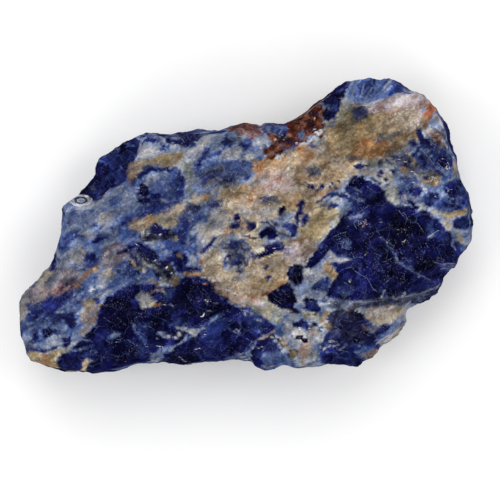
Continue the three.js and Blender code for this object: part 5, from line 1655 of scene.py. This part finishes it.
def sparkling(n, grainy, crystal, sugar):
    """The normal: a few crystals lean far, and the sugary grain is bumpy."""
    few = n.math("MULTIPLY_ADD", n.math("POWER", n.channel(crystal, "Blue"), 6.0), 0.9, 0.03)
    lean = n.product(few, n.math("MULTIPLY_ADD", grainy, 0.75, 0.25))
    tilt = n.vector("SCALE", n.vector("SUBTRACT", crystal, (0.5, 0.5, 0.5)), Scale=lean)
    surface = n.add("NewGeometry").outputs["Normal"]
    leaning = n.vector("NORMALIZE", n.vector("ADD", surface, tilt))
    rise = n.product(sugar, n.math("MULTIPLY_ADD", grainy, 0.8, 0.2))
    return n.add("Bump", Strength=0.5, Distance=0.08 * MM, Height=rise, Normal=leaning).outputs[0]


def plain_material(name, colour, roughness):
    material = bpy.data.materials.new(name)
    material.use_nodes = True
    n = Nodes(material.node_tree)
    shader = n.add("BsdfPrincipled", Base_Color=(*colour, 1), Roughness=roughness, Specular_IOR_Level=0.0)
    n.add("OutputMaterial", Surface=shader.outputs[0])
    return material


# ---------------------------------------------------------------- studio
FLOOR_HALF = 3.0  # half the floor's width, in metres
FLOOR_COLOUR = (0.97, 0.97, 0.97)
SKY = 0.74
LIGHT_DISTANCE = 1.2
# name, azimuth (0 is +X and 90 is +Y) and elevation in degrees, width in metres, watts
SOFTBOXES = [
    ("key", 100, 60, 0.6, 3.2),
    ("left", 190, 55, 0.4, 1.4),
    ("right", 12, 55, 0.4, 1.4),
    ("fill", 275, 57, 0.4, 1.3),
]


def linked(name, data):
    made = bpy.data.objects.new(name, data)
    bpy.context.scene.collection.objects.link(made)
    return made


def floor():
    mesh = bpy.data.meshes.new("floor")
    half = FLOOR_HALF
    mesh.from_pydata([(-half, -half, 0), (half, -half, 0), (half, half, 0), (-half, half, 0)], [], [(0, 1, 2, 3)])
    mesh.materials.append(plain_material("floor", FLOOR_COLOUR, 0.9))
    plane = linked("floor", mesh)


def softbox(name, azimuth, elevation, width, power):
    """A square area light aimed at the stone."""
    a, e = math.radians(azimuth), math.radians(elevation)
    away = Vector((math.cos(a) * math.cos(e), math.sin(a) * math.cos(e), math.sin(e)))
    data = bpy.data.lights.new(name, "AREA")
    data.shape, data.size, data.size_y, data.energy = "RECTANGLE", width, width, power
    light = linked(name, data)
    light.location = away * LIGHT_DISTANCE
    light.rotation_mode = "QUATERNION"
    light.rotation_quaternion = away.to_track_quat("Z", "Y")


def studio():
    for numbers in SOFTBOXES:
        softbox(*numbers)
    world = bpy.data.worlds.new("studio")
    bpy.context.scene.world = world
    world.use_nodes = True
    n = Nodes(world.node_tree)
    sky = n.add("Background", Color=(1, 1, 1, 1), Strength=SKY)
    n.add("OutputWorld", Surface=sky.outputs[0])
    bpy.context.scene.view_settings.view_transform = "Standard"


def camera():
    data = bpy.data.cameras.new("camera")
    data.lens, data.sensor_width = LENS, SENSOR
    data.clip_start, data.clip_end = 0.01, 50
    view = linked("camera", data)
    view.location = (*AIM, CAMERA_HEIGHT)
    bpy.context.scene.camera = view


def stone():
    piece = dense_copy("sodalite_stone")
    shaped(piece)
    thin(piece, 0.0, SIDE_RISE, SIDE_KEPT)
    thin(piece, -np.inf, 0.0)
    mesh = piece.data
    painted = stone_colours(*places(mesh))
    painted[:, :3] = sharpened(mesh, painted[:, :3])
    grained(mesh, painted[:, 4])
    keep_colours(mesh, painted, hairlines(*places(mesh)))
    mesh.shade_smooth()
    mesh.materials.clear()
    mesh.materials.append(stone_material())
    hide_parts(NODE)
    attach(piece, "root")


camera()
floor()
studio()
stone()
